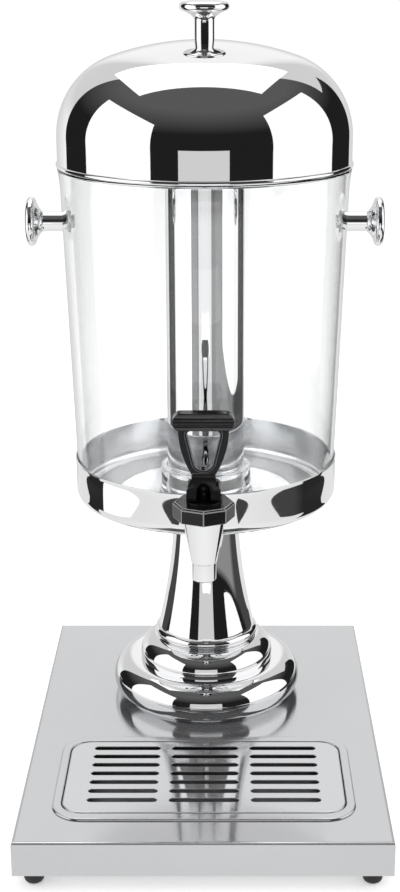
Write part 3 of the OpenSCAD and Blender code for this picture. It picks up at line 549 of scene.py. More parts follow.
@dataclass(frozen=True)
class Finish:
    """One finish: a Principled surface whose colour, gloss and relief vary with a shared effect."""

    name: str
    pale: Point3
    deep: Point3
    gloss: Point
    texture: Texture = Texture.POLISH
    stretch: Point3 = (1.0, 1.0, 1.0)
    scale: float = 60.0
    relief: float = 0.0
    relief_depth: float = 0.0002
    metallic: float = 0.0
    transmission: float = 0.0
    ior: float = 1.45
    specular: float = 0.5
    coat: float = 0.0
    brushed: float = 0.0

    def material(self) -> bpy.types.Material:
        """Makes the material, once.

        Returns:
            The material of this finish.
        """
        name = "finish_" + self.name
        if name in bpy.data.materials:
            return bpy.data.materials[name]
        material = bpy.data.materials.new(name)
        material.use_nodes = True
        wires = Wires(material.node_tree)
        effect = wires.add("Group", {
            "Place": wires.add("TexCoord")["Object"], "Stretch": self.stretch, "Scale": self.scale,
            "Low": self.gloss[0], "High": self.gloss[1]}, node_tree=self.texture.group())
        colour = wires.add("Mix", {"Factor": effect["Cloud"], "A": (*self.deep, 1.0), "B": (*self.pale, 1.0)},
                           data_type="RGBA")["Result"]
        surface: Inputs = {"Base Color": colour, "Roughness": effect["Gloss"], "Metallic": self.metallic,
                           "Transmission Weight": self.transmission, "IOR": self.ior,
                           "Specular IOR Level": self.specular, "Coat Weight": self.coat}
        if self.relief:
            surface["Normal"] = wires.add("Bump", {
                "Strength": self.relief, "Distance": self.relief_depth, "Height": effect["Mark"]})["Normal"]
        if self.brushed:
            surface["Tangent"] = wires.add("Tangent", direction_type="RADIAL", axis="X")["Tangent"]
            surface["Anisotropic"] = self.brushed
        wires.given("BSDF_PRINCIPLED", surface)
        return material


SATIN_STEEL = Finish("satin_steel_sheet", (0.64, 0.644, 0.654), (0.60, 0.604, 0.614), (0.08, 0.13),
                     stretch=(1.0, 40.0, 40.0), scale=30.0, relief=0.01, metallic=0.90, brushed=0.9)
BRIGHT_STEEL = Finish("bright_steel", (0.92, 0.92, 0.925), (0.88, 0.883, 0.89), (0.012, 0.035),
                      stretch=(1.0, 1.0, 6.0), scale=45.0, metallic=1.0)
GRILLE_STEEL = Finish("grille_steel", (0.69, 0.695, 0.705), (0.64, 0.645, 0.655), (0.06, 0.10),
                      stretch=(1.0, 30.0, 30.0), scale=30.0, relief=0.01, metallic=0.92, brushed=0.9)
PLAIN_STEEL = Finish("plain_steel", (0.64, 0.65, 0.67), (0.55, 0.56, 0.58), (0.18, 0.32),
                     stretch=(6.0, 6.0, 40.0), scale=40.0, relief=0.05, metallic=1.0)
# Dark steel of the tray's pan and shelf: its dark colour is painted shade for the shadow under the grille, and its
# roughness is a duller finish
PAN_SHADE_STEEL = Finish("pan_steel_painted_shade", (0.30, 0.30, 0.31), (0.20, 0.20, 0.21), (0.35, 0.55),
                   stretch=(3.0, 3.0, 3.0), scale=25.0, relief=0.05, metallic=1.0)
BOWL_STEEL = Finish("bowl_inner_steel", (0.86, 0.862, 0.87), (0.80, 0.802, 0.81), (0.16, 0.24),
                    stretch=(1.0, 1.0, 6.0), scale=45.0, metallic=1.0)
CLEAR_PLASTIC = Finish("clear_plastic", (0.995, 0.997, 0.998), (0.985, 0.99, 0.993), (0.0, 0.006),
                       scale=25.0, transmission=1.0, ior=1.49)
BLACK_PLASTIC = Finish("black_plastic", (0.011, 0.011, 0.012), (0.006, 0.006, 0.007), (0.08, 0.16),
                       texture=Texture.GRAIN, scale=1400.0, relief=0.02, specular=0.16, coat=0.2)
# Lighter plastic on the rounded outward edges of bonnet, lever and grip: a painted highlight in place of bright edge
# reflections
HIGHLIGHT_PLASTIC = Finish("black_plastic_painted_highlight", (0.32, 0.32, 0.325), (0.15, 0.15, 0.154), (0.10, 0.18),
                        texture=Texture.GRAIN, scale=1400.0, coat=0.5)
BLACK_RUBBER = Finish("black_rubber", (0.030, 0.030, 0.031), (0.018, 0.018, 0.019), (0.55, 0.75),
                      texture=Texture.GRAIN, scale=1100.0, relief=0.25)
PALE_SILICONE = Finish("pale_silicone", (0.80, 0.81, 0.80), (0.72, 0.73, 0.72), (0.32, 0.48),
                       texture=Texture.GRAIN, scale=700.0, relief=0.05)

SLOT_FINISH = {
    "satin_steel": SATIN_STEEL,
    "bright_steel": BRIGHT_STEEL,
    "plain_steel": PLAIN_STEEL,
    "clear_plastic": CLEAR_PLASTIC,
    "black_plastic": BLACK_PLASTIC,
    "black_rubber": BLACK_RUBBER,
    "pale_silicone": PALE_SILICONE,
}


def coat(piece: Piece, *finishes: Finish) -> None:
    """Gives a piece a material slot for each of these finishes."""
    for finish in finishes:
        piece.data.materials.append(finish.material())


def dress(piece: Piece, body: Body, slot: str, node: str, finish: Finish | None = None) -> None:
    """Gives a new piece its finish, its body and the node that it stands for.

    Args:
        piece: The new piece.
        body: Body that it rides on.
        slot: Material slot of the record.
        node: Node that it replaces.
        finish: Its finish, where it isn't the slot's own and the piece isn't coated yet.
    """
    if not piece.data.materials:
        coat(piece, finish or SLOT_FINISH[slot])
    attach(piece, body.value)
    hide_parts(node)
    LOG.info("%s: %d faces on %s", piece.name, len(piece.data.polygons), body.value)


def paint(piece: Piece, finish: Finish, chosen: Callable[[bpy.types.MeshPolygon], bool]) -> None:
    """Gives some faces of a dressed piece a finish of their own.

    Args:
        piece: The piece.
        finish: Finish of the chosen faces.
        chosen: Says for each face whether it takes that finish.
    """
    coat(piece, finish)
    for face in piece.data.polygons:
        if chosen(face):
            face.material_index = len(piece.data.materials) - 1


@dataclass
class Base:
    """Folded base on its rubber feet, with the drip tray and the grille."""

    w: float = 260.0
    d: float = 360.0
    h: float = 25.5
    sheet: float = 1.2
    sheet_edge: float = 0.3
    bend_r: float = 2.4
    flange: float = 24.0
    rod_hole_r: float = 5.3
    foot_d: float = 14.0
    foot_h: float = 12.0
    foot_low_r: float = 4.0
    foot_top_r: float = 0.6
    foot_inset: float = 13.5
    stud_r: float = 2.05
    stud_fit: float = 0.25
    stud_bury: float = 5.5
    stud_cut: Point = (-1.0, 3.0)
    tray_w: float = 214.0
    tray_d: float = 121.0
    tray_r: float = 22.0
    tray_y: float = -91.5
    tray_sheet: float = 0.8
    tray_fit: float = 0.5
    hole_r: float = 16.8
    rest_gap: float = 0.2
    flange_h: float = 1.5
    shelf: float = 5.0
    ledge: float = 5.0
    depth: float = 18.0
    shelf_bend: float = 1.0
    floor_bend: float = 3.0
    recess_w: float = 201.0
    recess_d: float = 104.0
    grille_w: float = 200.0
    grille_d: float = 103.0
    grille_r: float = 15.0
    grille_t: float = 1.0
    grille_bend: float = 1.1
    slot_len: float = 49.5
    slot_w: float = 5.4
    slot_edge: float = 0.35
    slot_cut: Point = (-2.5, 1.0)
    slot_pitch: Point = (58.0, 12.6)
    slot_count: tuple[int, int] = (3, 7)
    slot_shift: float = 3.5

    @property
    def top(self) -> float:
        """Height of the base's top."""
        return self.foot_h + self.h

    @property
    def tray_top(self) -> float:
        """Height of the tray's flange and of the grille."""
        return self.top + self.flange_h

    def build(self) -> None:
        """Builds and dresses all pieces of the base."""
        self.housing()
        self.feet()
        self.tray()
        self.grille()

    def housing(self) -> None:
        """Folds the sheet: a box with rounded top edges, open below inside an in-turned flange."""
        Bench.deselect()
        bpy.ops.mesh.primitive_cube_add(size=1.0, location=(0, 0, (self.foot_h + self.h / 2) * MM),
                                        scale=(self.w * MM, self.d * MM, self.h * MM))
        piece = Bench.named("base_shell")
        bpy.ops.object.transform_apply(location=True, rotation=True, scale=True)
        Bench.edit(piece)
        Bench.select(piece, "faces", lambda face: face.normal.z < -LEVEL)
        bpy.ops.mesh.inset(thickness=self.flange * MM)
        bpy.ops.mesh.delete(type="FACE")
        low, high = self.top - 3 * self.sheet, self.top + self.sheet
        Bench.select(piece, "edges", lambda edge: all(vert.co.z > low * MM for vert in edge.verts))
        bpy.ops.mesh.bevel(offset=self.bend_r * MM, segments=5, affect="EDGES")
        Bench.done()
        Bench.thicken(piece, self.sheet)
        margin = 2 * (self.tray_sheet + self.tray_fit)
        hole = rounded_rect(self.recess_w + margin, self.recess_d + margin, self.hole_r)
        Bench.combine(piece, Bench.prism("tray_cut", hole, (low, high), (0, self.tray_y, 0)))
        Bench.drill(piece, self.rod_hole_r, (low, high), (0, AXIS_Y, 0), sides=36)
        for x, y in self.foot_places():
            Bench.drill(piece, self.stud_r + self.stud_fit, self.stud_cut, (x, y, self.foot_h))
        Bench.soften(piece, self.sheet_edge, 2)
        Bench.smooth_edges(piece)
        dress(piece, Body.BASE, "satin_steel", "base_housing")

    def foot_places(self) -> list[Point]:
        """Middles of the four feet."""
        x, y = self.w / 2 - self.foot_inset, self.d / 2 - self.foot_inset
        return [(-x, -y), (x, -y), (-x, y), (x, y)]

    def feet(self) -> None:
        """Turns one rubber foot and copies it to the other corners."""
        r, low, high, bury = self.foot_d / 2, self.foot_low_r, self.foot_top_r, self.foot_h - self.stud_bury
        profile = [(0, 0), *arc(r - low, low, low, -90, 0, 8), *arc(r - high, self.foot_h - high, high, 0, 90, 4),
                   (self.stud_r, self.foot_h), (self.stud_r, bury), (0, bury)]
        corners = ["front_left", "front_right", "rear_left", "rear_right"]
        names = ["rubber_foot_" + corner for corner in corners]
        places = self.foot_places()
        first = Bench.turn(names[0], profile, (*places[0], 0), steps=48)
        for corner, foot in zip(corners, Bench.spread(first, names, places)):
            dress(foot, Body.BASE, "black_rubber", "foot_" + corner)

    @staticmethod
    def face_up(piece: Piece) -> None:
        """Turns a sheet so that its level face looks up, and leaves that face selected.

        Args:
            piece: The sheet, in edit mode.
        """
        bpy.ops.mesh.select_all(action="SELECT")
        bpy.ops.mesh.normals_make_consistent(inside=False)
        if min(face.normal.z for face in bmesh.from_edit_mesh(piece.data).faces) < -LEVEL:
            bpy.ops.mesh.flip_normals()
        Bench.select(piece, "faces", lambda face: face.normal.z > LEVEL)

    @staticmethod
    def step(thickness: float, depth: float = 0.0) -> None:
        """Insets the selected face and moves it up by a depth."""
        bpy.ops.mesh.inset(thickness=thickness * MM, depth=depth * MM, use_even_offset=True)

    @staticmethod
    def bend(r: float, down: bool, outer: bool, steps: int) -> None:
        """Takes the selected face round a quarter bend.

        Args:
            r: Radius of the bend.
            down: Whether the face goes down.
            outer: Whether the face starts out level, as at a convex edge that goes down.
            steps: Straight pieces of the bend.
        """
        angles = [math.radians(90 * i / steps) for i in range(steps + 1)]
        for a, b in zip(angles, angles[1:]):
            run, rise = math.sin(b) - math.sin(a), math.cos(a) - math.cos(b)
            if not outer:
                run, rise = rise, run
            Base.step(r * run, -r * rise if down else r * rise)

    def tray(self) -> None:
        """Draws the tray: a soft-edged flange, a shelf for the grille and a deep pan."""
        outline = rounded_rect(self.tray_w, self.tray_d, self.tray_r, 14)
        low, small = self.top + self.rest_gap, self.shelf_bend
        piece = Bench.chain("drip_tray_pan", [Vector((x, y + self.tray_y, low)) for x, y in outline])
        bpy.ops.mesh.edge_face_add()
        self.face_up(piece)
        rise = self.flange_h - self.rest_gap
        self.bend(rise, False, False, 5)
        side = (self.tray_w - self.recess_w) / 2 - small
        self.step(side - rise)
        narrow = (self.recess_d + 2 * small) / (self.tray_d - 2 * side)
        bpy.ops.transform.resize(value=(1, narrow, 1), center_override=(0, self.tray_y * MM, 0))
        self.bend(small, True, True, 4)
        Bench.extrude(Vector((0, 0, 2 * small - self.shelf)))
        self.bend(small, True, False, 3)
        self.step(self.ledge - 2 * small)
        self.bend(small, True, True, 3)
        floor = self.depth - self.tray_sheet + self.flange_h - self.shelf
        Bench.extrude(Vector((0, 0, small + self.floor_bend - floor)))
        self.bend(self.floor_bend, True, False, 4)
        Bench.done()
        Bench.thicken(piece, self.tray_sheet)
        Bench.smooth_edges(piece)
        dress(piece, Body.TRAY, "satin_steel", "drip_tray")
        # The shelf and pan take the dark steel, a painted shade under the grille
        paint(piece, PAN_SHADE_STEEL, lambda face: face.center.z < (self.top - self.rest_gap) * MM)

    def grille(self) -> None:
        """Presses the grille: a plate with a turned-down edge and soft-lipped slots."""
        lip = self.shelf - self.rest_gap
        outline = rounded_rect(self.grille_w, self.grille_d, self.grille_r, 12)
        piece = Bench.chain("grille_plate",
                            [Vector((x, y + self.tray_y, self.tray_top - lip)) for x, y in outline])
        rise = Vector((0, 0, lip - self.grille_bend)) * MM
        bpy.ops.mesh.extrude_edges_move(TRANSFORM_OT_translate={"value": rise})
        bpy.ops.mesh.edge_face_add()
        self.face_up(piece)
        self.bend(self.grille_bend, False, False, 4)
        Bench.done()
        Bench.thicken(piece, self.grille_t)
        r, (columns, rows), (across, along) = self.slot_w / 2, self.slot_count, self.slot_pitch
        reach = self.slot_len / 2 - r
        outline = [*arc(reach, 0, r, -90, 90, 8), *arc(-reach, 0, r, 90, 270, 8)]
        places = [((column - (columns - 1) / 2) * across,
                   self.tray_y + (row - (rows - 1) / 2) * along + self.slot_shift)
                  for column in range(columns) for row in range(rows)]
        first = Bench.prism("slot_cut", outline, self.slot_cut, (*places[0], self.tray_top))
        Bench.combine(piece, Bench.join(Bench.spread(first, ["slot_cut"] * len(places), places)))
        Bench.soften(piece, self.slot_edge, 3)
        Bench.smooth_edges(piece)
        dress(piece, Body.GRILLE, "bright_steel", "drip_grille", GRILLE_STEEL)


@dataclass
class Pedestal:
    """Spun bulb, ring and column that carry the vessel."""

    base_top: float
    bulb_r: float = 74.5
    bulb_section: float = 16.5
    bulb_lift: float = 12.5
    ring_r: float = 52.8
    ring_section: float = 15.5
    ring_lift: float = 3.0
    bore_r: float = 13.0
    shell: float = 1.2
    column_h: float = 118.0
    top_r: float = 25.0
    foot_r: float = 39.8
    bead_r: float = 4.4
    bead_step: float = 0.9
    bead_gap: float = 6.0

    def build(self) -> None:
        """Builds and dresses the three spun pieces, each on top of the last."""
        bulb_top = self.bulb("bulb", self.bulb_r, self.bulb_section, self.bulb_lift, self.base_top)
        ring_top = self.bulb("ring", self.ring_r, self.ring_section, self.ring_lift, bulb_top)
        self.column(ring_top)

    def bulb(self, name: str, r: float, section: float, lift: float, low: float) -> float:
        """Spins a bulb with a round side and a flat, bored top.

        Args:
            name: Name of the bulb.
            r: Greatest radius.
            section: Radius of its round side.
            lift: Height of its widest line.
            low: Height that it stands on.

        Returns:
            Height of its top.
        """
        mid, thin = r - section, section - self.shell
        outer = arc(mid, lift, section, -math.degrees(math.asin(lift / section)), 90, 40)
        inner = arc(mid, lift, thin, 90, -math.degrees(math.asin(lift / thin)), 30)
        profile = [*outer, (self.bore_r, lift + section), (self.bore_r, lift + thin), *inner]
        piece = Bench.turn(name + "_shell", profile, (0, AXIS_Y, low), steps=160)
        dress(piece, Body.BASE, "bright_steel", "pedestal_" + name)
        return low + lift + section

    def column(self, low: float) -> None:
        """Spins the column: a trumpet with its foot rolled to a bead.

        Args:
            low: Height that it stands on.
        """
        bead, fall = self.bead_r, self.column_h - self.bead_r / 2
        bead_x = self.foot_r + self.bead_step - bead

        def flare(t: float, inset: float) -> Point:
            """Point down the trumpet, t from 0 at its top to 1 at its foot."""
            return self.top_r + (self.foot_r - self.top_r) * t * t - inset, self.column_h - fall * t

        outer = [flare(i / 80, 0) for i in range(81)]
        outer = [point for point in outer if math.dist(point, (bead_x, bead)) > bead]
        start = math.degrees(math.atan2(outer[-1][1] - bead, outer[-1][0] - bead_x)) - self.bead_gap
        inner = [flare(1 - i / 40, self.shell) for i in range(41)]
        turn_r = bead_x - self.shell
        profile = [*outer, *arc(bead_x, bead, bead, start, -90, 20), (turn_r, 0),
                   (turn_r, self.column_h - fall), *inner]
        piece = Bench.turn("column_shell", profile, (0, AXIS_Y, low), steps=128, crease=28)
        dress(piece, Body.BASE, "bright_steel", "pedestal_column")


@dataclass
class Vessel:
    """Steel bowl, clear container, ice tube, lid and knobs."""

    bowl_z: float = 203.2
    bowl_r: float = 100.9
    bowl_h: float = 34.5
    bowl_wall: float = 0.8
    bowl_corner: float = 9.0
    bowl_flare: float = 0.16
    bowl_bead: float = 0.6
    bowl_bright: float = 2.0
    con_z: float = 205.0
    con_h: float = 254.3
    con_rim_r: float = 99.6
    con_top_r: float = 106.7
    con_lip_r: float = 108.8
    con_lip_h: float = 20.0
    con_wall: float = 3.0
    con_floor: float = 3.2
    con_corner: float = 10.0
    con_inner_corner: float = 3.0
    con_edge_r: float = 0.9
    floor_rings: Point = (50.0, 65.0)
    socket_r: float = 30.55
    socket_wall: float = 4.4
    socket_h: float = 20.0
    socket_foot_r: float = 1.5
    socket_edge_r: float = 1.0
    tube_z: float = 208.4
    tube_top: float = 471.3
    tube_r: float = 29.6
    tube_wall: float = 0.8
    tube_foot_r: float = 1.2
    tube_bead: float = 1.2
    lid_z: float = 459.5
    lid_r: float = 108.5
    lid_h: float = 90.0
    lid_side: float = 22.0
    lid_ring: float = 13.2
    lid_shoulder: float = 60.0
    lid_wall: float = 0.8
    lid_bead: float = 1.9
    lid_roll: float = -268.0
    seat_r: float = 8.6
    seat_edge: float = 0.1
    screw_hole_r: float = 2.8
    screw_cut: Point = (95.0, 115.0)
    knob_head: float = 18.2
    knob_stem: float = 7.3
    knob_len: float = 27.8
    knob_edge: float = 3.2
    knob_ring: float = 6.0
    knob_neck: float = 13.5
    knob_crown: float = 1.2
    knob_bore: float = 2.55
    knob_bury: float = 13.0
    knob_sink: float = 0.01
    knob_fit: float = 0.05
    stem_run: float = 2.0
    handle_z: float = 417.8
    handle_cut: float = 12.0
    shank_hole_r: float = 8.3
    shank_cut: Point = (-60.0, 0.0)

    def wall_r(self, z: float) -> float:
        """Outside radius of the container below its lip.

        Args:
            z: Height above the floor of the frame.

        Returns:
            The radius.
        """
        rim = self.bowl_z + self.bowl_h
        slope = (self.con_top_r - self.con_rim_r) / (self.con_z + self.con_h - self.con_lip_h - rim)
        return self.con_rim_r + slope * (z - rim)

    def build(self) -> None:
        """Builds and dresses all pieces of the vessel."""
        self.bowl()
        self.container()
        self.tube()
        self.lid()
        self.knobs()

    def pierce(self, piece: Piece) -> None:
        """Drills the hole of the tap's shank through the front of a piece."""
        Bench.drill(piece, self.shank_hole_r, self.shank_cut, (0, 0, SHANK_Z), Axis.Y, 48)

    def bowl(self) -> None:
        """Spins the bowl with its rolled rim and pierces it for the tap."""
        r, wall, corner, bead = self.bowl_r, self.bowl_wall, self.bowl_corner, self.bowl_bead
        mid = r - corner - self.bowl_flare
        bead_x, bead_z = r - wall + bead, self.bowl_h - bead
        rise = bead_z - 2 * bead - corner
        side = [(r - self.bowl_flare * (1 - (i / 16) ** 8), corner + rise * i / 16) for i in range(1, 17)]
        profile = [(0, 0), (mid / 2, 0), *arc(mid, corner, corner, -90, 0, 24), *side,
                   *arc(bead_x, bead_z, bead, -60, 180, 14), *[(x - wall, z) for x, z in side[::-1]],
                   *arc(mid, corner, corner - wall, 0, -90, 16), (mid / 2, wall), (0, wall)]
        piece = Bench.turn("bowl_shell", profile, (0, AXIS_Y, self.bowl_z), steps=FINE)
        self.pierce(piece)
        Bench.smooth(piece)
        dress(piece, Body.VESSEL, "bright_steel", "container_bowl")
        axis, rim = Vector((0, AXIS_Y * MM)), (self.bowl_z + self.bowl_h - self.bowl_bright) * MM
        inward = -1e-5
        paint(piece, BOWL_STEEL, lambda face: face.center.z < rim and (
            face.normal.z > LEVEL or face.normal.xy.dot(face.center.xy - axis) < inward))

    def container_line(self, inset: float, corner: float, floor: float) -> list[Point]:
        """Half section of one face of the container, from its floor to its lip.

        Args:
            inset: Distance inside the outer face.
            corner: Radius of the lower corner.
            floor: Height of the floor's face.

        Returns:
            Radius and height of each point.
        """
        low, lip = floor + corner, self.con_z + self.con_h - self.con_lip_h
        flare, top = self.con_lip_r - self.con_top_r, self.con_lip_h - self.con_edge_r
        wall = [low + (lip - low) * i / 12 for i in range(1, 12)]
        rises = [top * i / 12 for i in range(13)]
        return [*arc(self.wall_r(low) - inset - corner, low, corner, -90, 0, 12),
                *[(self.wall_r(z) - inset, z) for z in wall],
                *[(self.con_top_r + flare * (rise / self.con_lip_h) ** 2 - inset, lip + rise) for rise in rises]]

    def container(self) -> None:
        """Moulds the clear container with the socket of the ice tube, and drills its holes."""
        floor, top, edge = self.con_z + self.con_floor, self.con_z + self.con_h, self.con_edge_r
        out = self.container_line(0, self.con_corner, self.con_z)
        inside = self.container_line(self.con_wall, self.con_inner_corner, floor)
        rim_out = arc(out[-1][0] - edge, top - edge, edge, 0, 90, 6)
        rim_in = arc(inside[-1][0] + edge, top - edge, edge, 90, 180, 6)
        wide, brim = self.socket_r + self.socket_wall, floor + self.socket_h
        foot, soft = self.socket_foot_r, self.socket_edge_r
        socket = [*arc(wide + foot, floor + foot, foot, 270, 180, 5), *arc(wide - soft, brim - soft, soft, 0, 90, 5),
                  *arc(self.socket_r + soft, brim - soft, soft, 90, 180, 5), (self.socket_r, floor)]
        profile = [(0, self.con_z), (self.floor_rings[0], self.con_z), *out, *rim_out[1:], *rim_in,
                   *inside[::-1][1:], (self.floor_rings[1], floor), *socket, (0, floor)]
        piece = Bench.turn("clear_container", profile, (0, AXIS_Y, 0), steps=FINE)
        self.pierce(piece)
        near, far = self.screw_cut
        for side in (-1, 1):
            Bench.drill(piece, self.screw_hole_r, (side * near, side * far), (0, AXIS_Y, self.handle_z), Axis.X)
        Bench.smooth(piece)
        dress(piece, Body.VESSEL, "clear_plastic", "container")

    def tube(self) -> None:
        """Draws the ice tube with its closed foot and rolled mouth."""
        r, wall, bead, foot = self.tube_r, self.tube_wall, self.tube_bead, self.tube_foot_r
        height = self.tube_top - self.tube_z
        sides = [(r, foot + (height - foot - 2.5 * bead) * i / 10) for i in range(1, 11)]
        profile = [(0, 0), *arc(r - foot, foot, foot, -90, 0, 6), *sides,
                   *arc(r, height - bead, bead, -50, 132, 14), (r - wall, height - 2 * bead),
                   *arc(r - foot, foot, foot - wall, 0, -90, 4), (0, wall)]
        piece = Bench.turn("ice_tube_shell", profile, (0, AXIS_Y, self.tube_z))
        dress(piece, Body.ICE_TUBE, "bright_steel", "ice_tube")

    def lid(self) -> None:
        """Spins the lid: a straight wall with a rolled rim, a round shoulder and a shallow crown."""
        side, bead, wall, shoulder = self.lid_side, self.lid_bead, self.lid_wall, self.lid_shoulder
        flat, rise = self.lid_r - shoulder, self.lid_h - side
        crown = (flat ** 2 + rise ** 2 - shoulder ** 2) / (2 * (rise - shoulder))
        drop = rise - crown
        meet = math.degrees(math.atan2(-drop, flat))
        first = math.degrees(math.acos(self.seat_r / crown))
        top = self.lid_h - crown + math.sqrt(crown ** 2 - self.seat_r ** 2)
        rim = arc(self.lid_r - wall, bead, bead, math.degrees(math.acos(wall / bead)), self.lid_roll, 26)
        profile = [(self.screw_hole_r, top), (self.seat_r - self.seat_edge, top),
                   *arc(0, side + drop, crown, first, meet, 30)[1:], *arc(flat, side, shoulder, meet, 0, 40)[1:],
                   (self.lid_r, self.lid_ring), *rim, (self.lid_r - wall, self.lid_ring),
                   *arc(flat, side, shoulder - wall, 0, meet, 30),
                   *arc(0, side + drop, crown - wall, meet, first, 24)[1:], (self.screw_hole_r, top - wall)]
        piece = Bench.turn("lid_shell", profile, (0, AXIS_Y, self.lid_z), steps=FINE)
        dress(piece, Body.LID, "bright_steel", "lid_dome")
        knob = self.knob("lid_knob_turned", (0, AXIS_Y, self.lid_z + top - self.knob_sink), Axis.Z, 1, 0.0)
        dress(knob, Body.LID, "bright_steel", "lid_knob")

    def knob(self, name: str, seat: Point3, axis: Axis, side: int, run: float) -> Piece:
        """Turns a knob: a straight stem, a trumpet flare and a round-edged head.

        Args:
            name: Name of the piece.
            seat: Where its stem stands.
            axis: Direction of its axis.
            side: 1 or -1, the way that it points.
            run: Length that the stem runs on below its seat.

        Returns:
            The new piece.
        """
        stem, bore, edge, neck = self.knob_stem, self.knob_bore, self.knob_edge, self.knob_neck
        edge_z, edge_r = self.knob_len - self.knob_crown - edge, self.knob_head - edge
        under = edge_z - edge
        ball = (edge_r ** 2 + self.knob_crown ** 2) / (2 * self.knob_crown)
        flare = [(stem + (edge_r - stem) * (i / 14) ** 2, neck + (under - neck) * i / 14) for i in range(15)]
        crown = arc(0, self.knob_len - ball, ball, math.degrees(math.acos(edge_r / ball)), 90, 10)
        profile = [(0, self.knob_bury), (bore, self.knob_bury), (bore, -run), (stem, -run),
                   (stem, self.knob_ring), *flare, *arc(edge_r, edge_z, edge, -80, 84, 16), *crown[1:]]
        return Bench.turn(name, [(r, side * h) for r, h in profile], seat, axis)

    def knobs(self) -> None:
        """Turns the two side knobs and cuts their stems to the curve of the container."""
        low, high = self.handle_z - self.handle_cut, self.handle_z + self.handle_cut
        cone = [(0, low), (self.wall_r(low) + self.knob_fit, low), (self.wall_r(high) + self.knob_fit, high), (0, high)]
        for side, name in ((-1, "left"), (1, "right")):
            seat = (side * self.wall_r(self.handle_z), AXIS_Y, self.handle_z)
            piece = self.knob("side_knob_" + name, seat, Axis.X, side, self.stem_run)
            Bench.combine(piece, Bench.turn("wall_cut", cone, (0, AXIS_Y, 0), steps=360))
            Bench.smooth(piece)
            dress(piece, Body.VESSEL, "bright_steel", "handle_knob_" + name)


